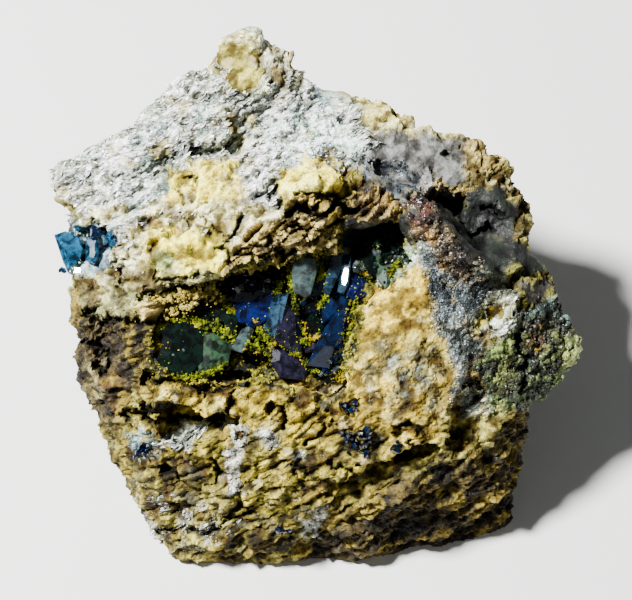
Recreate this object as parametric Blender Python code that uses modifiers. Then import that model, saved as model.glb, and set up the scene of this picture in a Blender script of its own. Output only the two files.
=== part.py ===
"""Scorodite crystals in a vug of weathered ore: the rock, the vug's crust and the edge pocket's crust.

Blender 4.5, metres, +Z up. The rock rests on a flat face at z = 0. Its open face leans towards -Y.

Most places are given in the open face's own frame, in millimetres: across (to the right), up (along the
face) and out (square out of the face). FACE_LEAN turns that frame into the world.
"""

import math

import bmesh
import bpy
from mathutils import Vector, noise

MM = 0.001

# The open face's frame
FACE_LEAN = math.radians(55.0)
FACE_CENTRE = Vector((0.15, -6.44, 25.0))
GROUND_CENTRE = Vector((0.5, -2.14, 0.0))

# The rock's surface
ROCK_VOXEL = 0.85
ROCK_TRIANGLES = 7200
ROUGHNESS = ((0.16, 0.75), (0.42, 0.38))
BED_SPACING = 2.6
BED_STEP = 0.45
BED_DIP = math.radians(33.0)

# The crusts
SEAT_GAP = 0.32

# Blocks of rock: corners on the open face (across, up, out) and corners on the ground frame (x, y, z)
BLOCKS = {
    "core": (
        [(-31, 13, -5), (-31, -7, -4), (-25, -20, -4), (-21, -30, -5.5), (-8, -32, -4.5), (3, -30, -2),
         (8, -26, 0), (20, -20, 0.5), (26, -14, 0), (27, 6, -3), (24, 15, -7), (13, 21, -9),
         (0, 26, -11), (-13, 29, -12), (-27, 20.4, -9)],
        [(-18, -29, -3), (9, -29, -3), (24, -23, -3), (27, -9, -3), (24, 11, -3), (9, 19, -3),
         (-13, 18, -3), (-26, 5, -3), (-26, -14, -3), (25, 15, 15), (-29, 12, 16), (5, 25, 22),
         (-14, 27, 24)],
    ),
    "left_shoulder": (
        [(-34.4, 18.1, -9), (-34.8, 16, -8.5), (-33.3, 7, -7), (-29, 20.5, -9.5), (-24, 22.5, -9),
         (-24, 17, -3), (-22, 8, -1), (-29, 7, -3)],
        [(-31, 8, 14), (-28, 14, 20)],
    ),
    "left_flank": (
        [(-33, 4, -8), (-32.6, -3, -7), (-30.9, -7, -6), (-31.8, -10.6, -8), (-28.6, -14.4, -7),
         (-25.8, -19.4, -6.5), (-20, -20, 0.5), (-19, -8, 1.5), (-22, 2, 0), (-29, 1, -3)],
        [(-26.2, -16, 4), (-27.6, 0, 8)],
    ),
    "belly": (
        [(-23.8, -24.5, -6), (-23.8, -29, -6.5), (-21.5, -31.5, -6.3), (-17.3, -35.6, -7.2),
         (-12.9, -35.8, -7.2), (-2, -35.6, -7.2), (-3, -31, -1.5), (-14, -31, -2.5), (-21, -28, -3),
         (-9, -20, 2.5), (-20, -17, 2), (3, -25, 1.5)],
        [(-18, -20, -2), (0, -24, -2)],
    ),
    "foot": (
        [(26.8, -14, -0.5), (28, -17.4, -5), (26.4, -27.6, -9), (26.2, -31.4, -11), (20.6, -33.2, -9.6),
         (8, -35, -8.2), (20.5, -20.3, 1.8), (12, -21.5, 2.6), (5, -26, 1.5)],
        [(24, -14, -2), (8, -24, -2), (24, -10, 10)],
    ),
    "right_shoulder": (
        [(14.6, 23.2, -10), (18.8, 22.6, -10.5), (23.5, 19.6, -10.5), (26.4, 16.6, -10), (28.4, 12.2, -9),
         (28.1, 7.4, -7), (27, 3, -3), (10, 14, -3), (20, 9, -2)],
        [(24, 18, 18), (12, 24, 22)],
    ),
    "knob": (
        [(28.1, 7.8, -7.6), (32.5, 2.4, -7), (34.2, -3.7, -6), (35.1, -6.1, -5), (33.4, -7.8, -3.5), (30.7, -10.4, -2.5),
         (27, -14.1, -1), (22.5, -13, 2.2), (23, -4, 1.8), (26.5, 1.5, -1.5), (27, 5, -5)],
        [(27, -12, 8), (29, 0, 13)],
    ),
    "horn": (
        [(-13.5, 34.8, -13.4), (-12.6, 35.6, -13.6), (-9.6, 36.6, -14), (-6.9, 36.5, -14.6), (-6, 35.2, -15),
         (-4.6, 33.4, -15.2), (-2.6, 31, -15), (-1, 28.8, -14), (-13.3, 31.6, -12), (-12.8, 27, -8.8),
         (-12.8, 34.6, -11), (-8.2, 36, -11.2), (-6.2, 34.2, -12), (-8.4, 28, -7.2), (-3.5, 25.5, -9)],
        [(-11, 29, 25), (-3, 30, 26), (-8, 33, 31), (-11, 26, 14), (-2, 26, 14), (-8, 20, 8)],
    ),
    "brow": (
        [(-1.6, 28.6, -14.5), (2, 28.5, -15.5), (6.8, 26.8, -13), (10.8, 25.8, -12.5), (14.6, 23.3, -10.5),
         (0, 20, -4.5), (10, 17, -4.5)],
        [(4, 27, 25)],
    ),
    "crest_step": (
        [(-21, 27.5, -13), (-16.5, 31.2, -14), (-13.1, 32.4, -14), (-26, 22.9, -11), (-22, 18, -4),
         (-10, 20, -4), (-8, 27, -9)],
        [(-17, 25, 27)],
    ),
    "roof": (
        [(-23.5, 0.6, 0.8), (-12.3, 3.9, 3.2), (-3.2, 11.2, 2.8), (11.2, 11.6, 0.6), (14, 15, -3),
         (-3, 5.2, 0.6), (1.6, 6.6, -0.4),
         (3, 21, -5), (-6, 22, -5), (-20, 18, -4), (-28, 12, -3.5), (-29, 4, -2.5)],
        [(-10, 4, 20)],
    ),
    "overhang_lump": (
        [(-3.7, 18.4, -2), (-3.9, 14.2, 2.2), (0, 12.8, 3), (3.2, 14, 2), (3.4, 18, -1.5), (0, 15.8, 3.2)],
        [(0, 10, 24)],
    ),
    "mound": (
        [(3, -6, 1), (7.3, 1.6, 1.2), (10, 4.6, 0.4), (14, 4.4, 0.2), (17.2, 0, 1.5), (19, -11, 2.4),
         (17, -19, 3.2), (4.6, -20, 3.6), (4, -11, 3.6), (8, -2, 3.6), (12.6, -4.6, 4.8), (11, -11, 5.4)],
        [(12, -8, 16)],
    ),
    "ore_ridge": (
        [(13.2, 7, -0.5), (15.2, 1, 2.6), (19, -11, 3.4), (23, -13.5, 1.4), (22, -3, 0.4), (17, 7, -2),
         (12, 12.5, -1.5), (15, 11, -2.5)],
        [(16, -6, 15)],
    ),
    "ledge": (
        [(-22.5, -10.2, 0.5), (-22, -14.4, 2.6), (-11, -15.4, 4.8), (4, -15.2, 4.4), (4.5, -11.6, 3.2),
         (-8, -9.4, 2.4), (-12, -9.8, 2), (-16, -10.4, 1.4)],
        [(-8, -14, 16)],
    ),
    "sugary_ridge": (
        [(10.4, 12.4, 1.2), (13, 13.8, 0.8), (16.6, 11.4, 1.4), (24.8, 4.2, 0.4), (23.2, 2, 0.4), (15, 6.8, 1.6),
         (11.2, 9.8, 1.4), (14, 10.4, 2.6), (22, 4.2, 1.8)],
        [(16, 2, 18)],
    ),
    "low_shelf": (
        [(-19, -18.4, 2.6), (-9, -15.8, 4.2), (8, -15.6, 4.4), (17, -17, 3.4), (4, -24, 2.6), (-16, -25, 0.6)],
        [(-6, -16, 10)],
    ),
}

# Hollows cut into the open face: the corners of each, outermost first
HOLLOWS = {
    "vug_main": [
        (-21.9, -1.4, 6), (-14.8, 0.8, 6), (-12.2, 4, 6), (-3.2, 5.8, 6), (1.8, 6.6, 6), (6.6, 3.2, 6),
        (5.6, -3, 7), (3.8, -10.8, 7), (-2, -11, 7), (-15, -10, 7), (-21.9, -8.8, 6),
        (-20.4, -3, -3), (-11.6, 3.4, -6), (-3, 5.2, -6.4), (4, 3.6, -6.4), (3, -7, -5), (-3, -9.4, -4.6),
        (-14, -8.6, -4), (-20.4, -7.4, -3.4),
    ],
    "vug_arm": [
        (1.4, 6.2, 6), (3.2, 9.6, 6), (11.4, 11, 6), (13.2, 8.4, 6), (11.8, 3.4, 7), (7.4, 1, 6), (2.4, 1, 6),
        (3.4, 9.2, -7), (11.2, 10, -7), (12, 8, -6.6), (10.4, 4.2, -5), (4, 1.6, -6),
    ],
    "channel": [
        (15.6, 12.6, 3), (19, 14.8, 2), (27.8, 13.4, 0), (29, 7, 0), (25.4, 3.4, 3), (20.6, 6.6, 4),
        (17.6, 11.6, -6), (21, 12.8, -7.6), (25.4, 10.6, -7.6), (24.8, 6.8, -5.6), (21.6, 7.2, -5.6),
    ],
    "right_cave": [
        (14.2, 14.6, 2), (20, 15, 1), (20.4, 10.8, 1), (15.4, 11.4, 2), (15.2, 14, -8.5), (19.6, 14, -9.5),
        (18.4, 11.4, -9),
    ],
    "rim_pocket": [
        (27, 3.2, 3), (31, 2.6, 2), (30, -0.2, 3), (26.6, 0.4, 4), (28, 2.2, -5.4), (29.6, 1.2, -5.2),
    ],
    "roof_slot": [
        (-3.4, 13.4, 6), (4.8, 14, 6), (9, 12.2, 5), (4, 12, 5), (-3, 12.2, 6), (0, 12.9, -4.4),
        (6, 12.9, -4.4),
    ],
    "crest_slot": [
        (-19.6, 19.6, 2), (-15, 21.2, 1), (-14.6, 20, 2), (-19.2, 18.2, 3), (-17, 19.6, -7), (-16, 20, -7),
    ],
    "crest_hole": [
        (-7.2, 15.4, 6), (-4.6, 15.2, 6), (-4.6, 12.8, 6), (-7, 13.2, 6), (-6, 14.2, -4),
    ],
    "ledge_slot": [
        (-22, -15.2, 7), (-11.4, -15.8, 9), (-10.6, -16.8, 9), (-17, -17.4, 8), (-21.6, -16.2, 7),
        (-19, -15.2, -0.6), (-13, -15.4, 0.8), (-14, -16.8, 1), (-18.6, -16.4, -0.4),
    ],
    "left_hollow": [
        (-30.6, -2.2, 2), (-24.6, -2, 4), (-24.2, -9, 5), (-27.4, -12.6, 3), (-30.4, -9, 1),
        (-28.6, -3.4, -5.4), (-25.8, -4, -4), (-26, -9.6, -3.6), (-28.2, -9.6, -5),
    ],
    "edge_pocket": [
        (-35.4, 9.4, 0), (-30, 10.6, 2), (-26.6, 9.6, 3), (-25.2, 7.4, 4), (-26.6, 4, 4), (-34.8, 3, 0),
        (-34.4, 8.8, -9.4), (-29.6, 9.8, -8.2), (-27, 8.6, -7), (-27.6, 4.8, -7), (-34, 4.2, -9.4),
    ],
}

# The crystals of both crusts: the outline of each top face on the open face (across, up), how far out its middle
# is, how it slopes (outward for each mm across, and up), and how deep the crystal goes
VUG_CRYSTALS = (
    (((-20.6, -4.3), (-18, -3.2), (-15.4, -4.1), (-15.3, -7.8), (-16.8, -9.3), (-19.2, -9.3), (-21.2, -8)),
     -1.2, (0.1, -0.22), 4.0),
    (((-15, -4.4), (-12.6, -4.4), (-11.3, -6), (-11.7, -8), (-15, -9)), -1.4, (-0.1, -0.3), 4.0),
    (((-14.8, -0.4), (-12.4, -0.2), (-10.5, -2.2), (-10.8, -4.6), (-13.2, -3.2)), -3.0, (0.2, -0.3), 3.4),
    (((-12, 3.4), (-9, 4), (-6, 4.3), (-5.8, 1.2), (-8.6, 0), (-11.8, 0.2)), -3.8, (0.12, -0.4), 3.4),
    (((-11.5, -0.1), (-8.6, -0.3), (-6, 0.8), (-6.6, -2.4), (-8.2, -3.2), (-10.6, -2.4)), -2.6,
     (0.2, -0.25), 4.2),
    (((-10.9, -6.2), (-9.7, -4), (-8.1, -3.3), (-8.5, -4.8), (-9.6, -6.6)), -1.8, (-0.3, -0.4), 3.6),
    (((-7, -1.8), (-5.4, 0.3), (-3.9, 0.4), (-5.2, -4.9), (-6.7, -4)), -1.9, (0.7, -0.2), 4.4),
    (((-3.9, 0.4), (-2.4, -1.6), (-2.1, -4.7), (-2, -7), (-5.1, -5)), -1.6, (-0.45, -0.22), 4.8),
    (((-2.9, 4.4), (-1.7, 5.2), (-0.3, 5.1), (-0.1, 3.7), (-0.8, 1.1), (-1.3, 0.7), (-2.7, 1.4)), -1.0,
     (0.1, -0.28), 1.1),
    (((-0.2, 4.2), (1.8, 4.6), (2.4, 2.6), (1.4, 1.1), (-0.6, 0.8)), -3.2, (0.2, -0.2), 3.4),
    (((3.5, 8.9), (4.6, 9.3), (4.1, 6.4), (2.7, 3.2), (1.9, 1.3), (1.2, 1.8), (2.2, 5.6)), -2.6,
     (-0.5, -0.3), 3.6),
    (((3.5, 5.6), (4.5, 5.4), (4.2, 2.4), (3.6, 1.1), (2.9, 1.4), (2.8, 3.2)), -2.0, (0.35, -0.25), 3.6),
    (((4.2, 3.4), (6.7, 3.1), (6.5, 0.8), (5.2, 0.3), (4.1, 0.7)), -2.4, (-0.2, -0.35), 3.6),
    (((3.6, 1), (4.2, 0.2), (4, -1.3), (2.8, -1.9), (1, -2.8), (1, -0.6), (1.8, 0.8)), -2.4, (0.2, -0.2), 3.6),
    (((3.9, -1.3), (2.9, -1.8), (1.3, -3.9), (-0.7, -8), (1.8, -8.3), (3.7, -7), (4.1, -3.6)), -1.3,
     (-0.28, -0.12), 4.4),
    (((-1.9, -4.8), (0.7, -4.5), (-0.1, -6.6), (-1.4, -6.8)), -2.4, (0.1, -0.3), 3.0),
    (((-5.4, -6.2), (-3.4, -6.8), (-0.9, -8.3), (-2, -10.2), (-4.6, -9.8), (-5.6, -8.2)), -1.3,
     (-0.1, -0.25), 4.0),
    (((1, -8.5), (3.2, -8), (3.4, -10.3), (1.4, -10.6)), -1.5, (0.1, -0.35), 3.0),
    (((4.7, 5.8), (7.5, 6.1), (8, 3.7), (6.9, 3.3), (4.7, 3.7)), -3.4, (0.1, -0.3), 3.0),
    (((7.7, 6.1), (10.5, 6), (11.1, 3.4), (9.2, 1.9), (8.2, 3)), -2.9, (0.2, -0.35), 3.4),
    (((-0.4, -2), (0.9, -3), (1, -4.3), (-1.8, -4.6), (-2, -2.8)), -3.3, (0.1, -0.1), 2.6),
    (((-0.6, 0.4), (1, 0.6), (0.7, -1.6), (-1.8, -2), (-2.2, -0.6)), -4.0, (0.1, -0.1), 2.6),
)
EDGE_CRYSTALS = (
    (((-34.3, 8.3), (-33, 8.7), (-31.4, 7.9), (-31, 6.6), (-31.6, 5.1), (-32.8, 4.2), (-33.4, 5.6)),
     -6.6, (0.3, 0.05), 1.8),
    (((-30.2, 7.8), (-29, 7.9), (-28.7, 6.2), (-29.2, 5), (-30.2, 5.4)), -4.9, (0.3, -0.2), 3.4),
    (((-29.7, 10), (-28.5, 10.1), (-28.2, 8.5), (-29.6, 8.3)), -4.9, (0.2, -0.4), 3.0),
    (((-27.3, 8.8), (-25.8, 8.6), (-25.7, 7.2), (-27.1, 7.1)), -3.4, (0.2, -0.4), 3.0),
    (((-32.5, 4.7), (-30.6, 4.8), (-30.4, 3.6), (-32.2, 3.4)), -6.4, (0.3, -0.3), 2.4),
)


def face_point(across, up, out):
    """Turn a place in the open face's frame, in millimetres, into metres in the world."""
    lean_sin, lean_cos = math.sin(FACE_LEAN), math.cos(FACE_LEAN)
    local = Vector((across, up * lean_sin - out * lean_cos, up * lean_cos + out * lean_sin))
    return (FACE_CENTRE + local) * MM


def face_direction(direction):
    """Turn a direction in the open face's frame into a unit vector in the world."""
    return (face_point(*direction) - face_point(0, 0, 0)).normalized()


def ground_point(x, y, z):
    """Turn a place beside or under the rock, in millimetres in the ground frame, into metres."""
    return (GROUND_CENTRE + Vector((x, y, z))) * MM


def new_collection(name):
    """Make a collection in the scene."""
    collection = bpy.data.collections.new(name)
    bpy.context.scene.collection.children.link(collection)
    return collection


def new_material(name, colour, roughness, metallic=0.0):
    """Make a Principled material."""
    material = bpy.data.materials.new(name)
    material.use_nodes = True
    shader = material.node_tree.nodes["Principled BSDF"]
    shader.inputs["Base Color"].default_value = (*colour, 1.0)
    shader.inputs["Roughness"].default_value = roughness
    shader.inputs["Metallic"].default_value = metallic
    return material


def hull_object(name, corners, collection):
    """Make the convex solid that spans a set of corners."""
    work = bmesh.new()
    for corner in corners:
        work.verts.new(corner)
    result = bmesh.ops.convex_hull(work, input=list(work.verts))
    inside = [item for item in result["geom_interior"] if isinstance(item, bmesh.types.BMVert)]
    bmesh.ops.delete(work, geom=inside, context="VERTS")
    bmesh.ops.recalc_face_normals(work, faces=list(work.faces))
    return object_from(work, name, collection)


def object_from(work, name, collection):
    """Put a bmesh into a new object and free it."""
    mesh = bpy.data.meshes.new(name)
    work.to_mesh(mesh)
    work.free()
    solid = bpy.data.objects.new(name, mesh)
    collection.objects.link(solid)
    return solid


def apply_modifiers(solid):
    """Replace an object's mesh by the mesh that its modifiers give."""
    bpy.context.view_layer.update()
    graph = bpy.context.evaluated_depsgraph_get()
    made = bpy.data.meshes.new_from_object(solid.evaluated_get(graph))
    solid.modifiers.clear()
    solid.data = made


def boolean(solid, operation, other):
    """Add, cut or keep the common part of two solids, and apply it."""
    modifier = solid.modifiers.new(operation.title(), "BOOLEAN")
    modifier.operation = operation
    modifier.solver = "EXACT"
    modifier.object = other
    apply_modifiers(solid)


def remesh(solid, voxel):
    """Rebuild a solid's surface on an even grid of voxels, in millimetres."""
    modifier = solid.modifiers.new("Remesh", "REMESH")
    modifier.mode = "VOXEL"
    modifier.voxel_size = voxel * MM
    apply_modifiers(solid)


def joined(solids, name, collection):
    """Put several solids' faces into one object, and remove the solids."""
    work = bmesh.new()
    for solid in solids:
        work.from_mesh(solid.data)
        bpy.data.objects.remove(solid)
    return object_from(work, name, collection)


def as_cutter(solid):
    """Show a solid as a wire guide that isn't part of the object."""
    solid.hide_render = True
    solid.display_type = "WIRE"
    return solid


def roughen(solid):
    """Move the surface in and out: weathered lumps of two sizes, and broken edges of the dipping beds."""
    bed_axis = face_direction((-math.sin(BED_DIP), math.cos(BED_DIP), 0.35))
    solid.data.update()
    moved = []
    for vertex in solid.data.vertices:
        place = vertex.co / MM - FACE_CENTRE
        shift = 0.0
        for frequency, height in ROUGHNESS:
            shift += height * noise.noise(place * frequency)
        level = place.dot(bed_axis) + 0.8 * noise.noise(place * 0.12)
        phase = (level / BED_SPACING) % 1.0
        strength = 0.5 + 0.5 * noise.noise(place * 0.08 + Vector((7.0, 3.0, 1.0)))
        shift += BED_STEP * strength * (phase - 0.5)
        moved.append(vertex.co + vertex.normal * shift * MM)
    for vertex, place in zip(solid.data.vertices, moved):
        vertex.co = place


def flatten_base(solid):
    """Cut the rock off flat at z = 0, where it rests."""
    work = bmesh.new()
    work.from_mesh(solid.data)
    everything = list(work.verts) + list(work.edges) + list(work.faces)
    cut = bmesh.ops.bisect_plane(work, geom=everything, plane_co=(0, 0, 0), plane_no=(0, 0, -1), clear_outer=True)
    rim = [item for item in cut["geom_cut"] if isinstance(item, bmesh.types.BMEdge)]
    bmesh.ops.holes_fill(work, edges=rim, sides=0)
    bmesh.ops.triangulate(work, faces=list(work.faces))
    work.to_mesh(solid.data)
    work.free()


def decimate(solid, triangles):
    """Thin a surface to about a number of triangles, keeping its edges and hollows."""
    modifier = solid.modifiers.new("Decimate", "DECIMATE")
    solid.data.calc_loop_triangles()
    modifier.ratio = min(1.0, triangles / len(solid.data.loop_triangles))
    modifier.use_collapse_triangulate = True
    apply_modifiers(solid)


def block_corners(name):
    """Give the world corners of one block of rock."""
    on_face, on_ground = BLOCKS[name]
    return [face_point(*corner) for corner in on_face] + [ground_point(*corner) for corner in on_ground]


def hollow_corners(name):
    """Give the world corners of one hollow."""
    return [face_point(*corner) for corner in HOLLOWS[name]]


def make_matrix(parts, guides):
    """Build the rock: blocks grown together, hollows cut in, weathered and set flat."""
    blocks = [hull_object(name, block_corners(name), guides) for name in BLOCKS]
    rock = joined(blocks, "matrix", parts)
    remesh(rock, ROCK_VOXEL)
    for name in HOLLOWS:
        hollow = as_cutter(hull_object(name, hollow_corners(name), guides))
        boolean(rock, "DIFFERENCE", hollow)
    remesh(rock, ROCK_VOXEL)
    keep_largest(rock)
    roughen(rock)
    decimate(rock, ROCK_TRIANGLES)
    flatten_base(rock)
    keep_largest(rock)
    return rock


def crystal_corners(outline, level, slope, depth):
    """Give the corners of a crystal with a flat sloping top face and sides that narrow downwards."""
    middle = sum((Vector(corner) for corner in outline), Vector((0.0, 0.0))) / len(outline)
    corners = []
    for drop, scale in ((0.0, 1.0), (depth, 0.8)):
        for corner in outline:
            way = Vector(corner) - middle
            out = level + way.dot(Vector(slope)) - drop
            corners.append(face_point(*(middle + way * scale), out))
    return corners


def make_crust(name, bed_corners, crystals, rock, parts, guides):
    """Build a crust: crystals grown together on a bed in a hollow, kept a small gap off the rock."""
    crust = hull_object(name, bed_corners, parts)
    for index, values in enumerate(crystals):
        grown = hull_object(f"{name}_{index}", crystal_corners(*values), guides)
        boolean(crust, "UNION", grown)
        bpy.data.objects.remove(grown)
    shell = rock.copy()
    shell.data = rock.data.copy()
    shell.name = f"{name}_seat"
    guides.objects.link(shell)
    as_cutter(shell)
    work = bmesh.new()
    work.from_mesh(shell.data)
    work.normal_update()
    for vertex in work.verts:
        vertex.co += vertex.normal * SEAT_GAP * 1.25 * MM
    work.to_mesh(shell.data)
    work.free()
    boolean(crust, "DIFFERENCE", shell)
    keep_largest(crust)
    return crust


def keep_largest(solid):
    """Keep a solid's largest body, without the chips that a cut leaves."""
    work = bmesh.new()
    work.from_mesh(solid.data)
    left = set(work.faces)
    bodies = []
    while left:
        start = left.pop()
        body, edge_of = {start}, [start]
        while edge_of:
            for edge in edge_of.pop().edges:
                for face in edge.link_faces:
                    if face in left:
                        left.discard(face)
                        body.add(face)
                        edge_of.append(face)
        bodies.append(body)
    largest = max(bodies, key=lambda body: sum(face.calc_area() for face in body))
    chips = [face for body in bodies if body is not largest for face in body]
    bmesh.ops.delete(work, geom=chips, context="FACES")
    bmesh.ops.triangulate(work, faces=list(work.faces))
    work.to_mesh(solid.data)
    work.free()


def main():
    """Build the specimen."""
    for leftover in list(bpy.data.objects):
        bpy.data.objects.remove(leftover)
    parts = new_collection("scorodite")
    guides = new_collection("guides")
    rock = make_matrix(parts, guides)
    vug_bed = [
        face_point(*corner) for corner in (
            (-20.6, -3, -3.6), (-11.8, 3.4, -6.2), (-3, 5, -6.4), (4, 6, -6), (10, 5.6, -5.4), (9.4, 3, -4.6),
            (4.6, 0, -4.8), (3.4, -9.4, -3.6), (-3, -9.8, -3.4), (-15, -9, -3), (-20.6, -7.6, -2.8),
            (-8, 0, -10),
        )
    ]
    edge_bed = [
        face_point(*corner) for corner in (
            (-33.2, 8, -7.6), (-27.6, 9.4, -5.4), (-26.4, 7.4, -4.6), (-27.6, 4.2, -5), (-33, 4.2, -7.6),
            (-30, 6.4, -11),
        )
    ]
    vug = make_crust("vug_crystals", vug_bed, VUG_CRYSTALS, rock, parts, guides)
    edge = make_crust("edge_crystals", edge_bed, EDGE_CRYSTALS, rock, parts, guides)
    rock.data.materials.clear()
    rock.data.materials.append(new_material("weathered_ore", (0.32, 0.21, 0.09), 0.85))
    blue = new_material("scorodite_crystal", (0.02, 0.08, 0.22), 0.08)
    for crust in (vug, edge):
        crust.data.materials.clear()
        crust.data.materials.append(blue)


main()
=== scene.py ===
"""The finish of a scorodite specimen: blue crystals in a vug of weathered, micaceous ore.

Every place is in the open face's own frame unless a name says otherwise: millimetres across (to the
right), up (along the face) and out (square out of the face). The solids give the rock's large forms.
This script gives it a fine broken surface, its minerals, its loose grains and its clear crystals.
"""

import logging
import math
from abc import ABC, abstractmethod
from dataclasses import dataclass, field, fields, replace
from enum import Enum
from typing import ClassVar

import bmesh
import bpy
import numpy as np
from mathutils import Matrix, Vector


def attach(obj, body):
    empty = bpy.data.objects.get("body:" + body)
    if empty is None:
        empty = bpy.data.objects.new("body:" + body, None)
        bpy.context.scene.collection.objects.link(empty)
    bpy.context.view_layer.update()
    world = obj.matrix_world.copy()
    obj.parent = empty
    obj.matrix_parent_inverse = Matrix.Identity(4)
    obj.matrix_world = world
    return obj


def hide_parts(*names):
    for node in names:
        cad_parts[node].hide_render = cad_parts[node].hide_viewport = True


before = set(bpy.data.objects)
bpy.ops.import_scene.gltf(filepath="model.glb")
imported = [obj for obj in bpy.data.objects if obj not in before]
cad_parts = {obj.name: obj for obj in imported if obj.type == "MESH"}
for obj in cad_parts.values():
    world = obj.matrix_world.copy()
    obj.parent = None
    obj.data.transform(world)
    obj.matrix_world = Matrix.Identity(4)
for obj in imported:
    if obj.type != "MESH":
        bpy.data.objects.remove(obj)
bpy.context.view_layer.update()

LOG = logging.getLogger("scorodite")
MM = 0.001

# The open face's frame, as the solids have it
FACE_LEAN = math.radians(55.0)
FACE_CENTRE = np.array((0.15, -6.44, 25.0))
ACROSS = np.array((1.0, 0.0, 0.0))
UP = np.array((0.0, math.sin(FACE_LEAN), math.cos(FACE_LEAN)))
OUT = np.array((0.0, -math.cos(FACE_LEAN), math.sin(FACE_LEAN)))
FACE_AXES = np.stack((ACROSS, UP, OUT))


def to_face(places: np.ndarray) -> np.ndarray:
    """Turn world places in millimetres into the open face's frame."""
    return (places - FACE_CENTRE) @ FACE_AXES.T


def to_world(places: np.ndarray) -> np.ndarray:
    """Turn places in the open face's frame into world millimetres."""
    return np.asarray(places) @ FACE_AXES + FACE_CENTRE


def smoothstep(low: float, high: float, value: np.ndarray) -> np.ndarray:
    """Rise smoothly from 0 at low to 1 at high."""
    part = np.clip((value - low) / (high - low), 0.0, 1.0)
    return part * part * (3.0 - 2.0 * part)


def linear(code: str) -> np.ndarray:
    """Turn an sRGB hex code into linear red, green and blue."""
    coded = np.array([int(code[place:place + 2], 16) for place in (1, 3, 5)]) / 255.0
    return np.where(coded <= 0.04045, coded / 12.92, ((coded + 0.055) / 1.055) ** 2.4)


# Noise reads ten bits of a scrambled number for each of three values
FIELD_BITS = 10
FIELD_TOP = 2**FIELD_BITS - 1
# How many shades and levels the cells of a noise have: primes, so that they don't follow the bits
SHADES = 1009
LEVELS = 997
# What brings the blended slopes up to about -1 to 1, and how far each octave lies from the one before
NOISE_GAIN = 1.3
OCTAVE_SHIFT = 17.3
# How far facets differ in level and in tilt, and what brings their height to about -1 to 1
FACET_LEVEL = 0.35
FACET_TILT = 1.25
FACET_MIDDLE = 0.25
FACET_GAIN = 1.6
# Farther than anything that is measured
FAR = 1e9


def lattice(cells: np.ndarray, seed: int) -> np.ndarray:
    """Give each whole-number cell a fixed scrambled 32-bit number.

    Args:
        cells: Whole numbers, three to a cell.
        seed: Which scramble.

    Returns:
        One unsigned number for each cell.
    """
    whole = cells.astype(np.int64).astype(np.uint32)
    mixed = whole[..., 0] * np.uint32(374761393) + whole[..., 1] * np.uint32(668265263)
    mixed += whole[..., 2] * np.uint32(2246822519) + np.uint32((seed * 3266489917) % 2**32)
    mixed = (mixed ^ (mixed >> np.uint32(15))) * np.uint32(2246822507)
    mixed = (mixed ^ (mixed >> np.uint32(13))) * np.uint32(3266489909)
    return mixed ^ (mixed >> np.uint32(16))


def scattered(code: np.ndarray) -> np.ndarray:
    """Read three numbers from 0 to 1 out of each scrambled number.

    Args:
        code: The scrambled numbers.

    Returns:
        Three numbers for each of them.
    """
    return np.stack([(code >> FIELD_BITS * place) & FIELD_TOP for place in range(3)], -1) / FIELD_TOP


def gradient_noise(places: np.ndarray, seed: int = 0) -> np.ndarray:
    """Smooth noise from about -1 to 1, one swell to a unit.

    At each corner of the unit cell a scrambled slope is multiplied by the way to that corner, and the
    eight values are blended with the curve 6t^5 - 15t^4 + 10t^3.

    Args:
        places: Places, three numbers each.
        seed: Which noise.

    Returns:
        One value for each place.
    """
    cell = np.floor(places)
    part = places - cell
    ease = part**3 * (part * (part * 6.0 - 15.0) + 10.0)
    total = np.zeros(len(places))
    for corner in np.ndindex(2, 2, 2):
        step = np.array(corner)
        slope = 2.0 * scattered(lattice(cell + step, seed)) - 1.0
        weight = np.prod(np.where(step == 1, ease, 1.0 - ease), -1)
        total += weight * np.sum(slope * (part - step), -1)
    return total * NOISE_GAIN


def rough_noise(places: np.ndarray, octaves: int, seed: int = 0) -> np.ndarray:
    """Add octaves of smooth noise, each twice as fine and half as high.

    Args:
        places: Places, three numbers each.
        octaves: How many are added.
        seed: Which noise the first one is.

    Returns:
        One value for each place.
    """
    total = np.zeros(len(places))
    for octave in range(octaves):
        total += gradient_noise(places * 2.0**octave + OCTAVE_SHIFT * octave, seed + octave) * 0.5**octave
    return total


def cell_noise(places: np.ndarray, seed: int = 0) -> tuple[np.ndarray, np.ndarray, np.ndarray]:
    """Find the nearest two of the points that are scattered one to a unit cell.

    Args:
        places: Places, three numbers each.
        seed: Which scatter.

    Returns:
        The distance to the nearest point, the distance to the next, and a number from 0 to 1 that is
        the same all over the nearest point's cell.
    """
    cell = np.floor(places)
    near = np.full(len(places), FAR)
    next_near = np.full(len(places), FAR)
    owner = np.zeros(len(places))
    for offset in np.ndindex(3, 3, 3):
        corner = cell + np.array(offset) - 1.0
        code = lattice(corner, seed)
        point = corner + scattered(code)
        gap = np.sqrt(np.sum((places - point) ** 2, -1))
        closer = gap < near
        next_near = np.where(closer, near, np.minimum(next_near, gap))
        owner = np.where(closer, (code % SHADES) / SHADES, owner)
        near = np.minimum(near, gap)
    return near, next_near, owner


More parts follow.
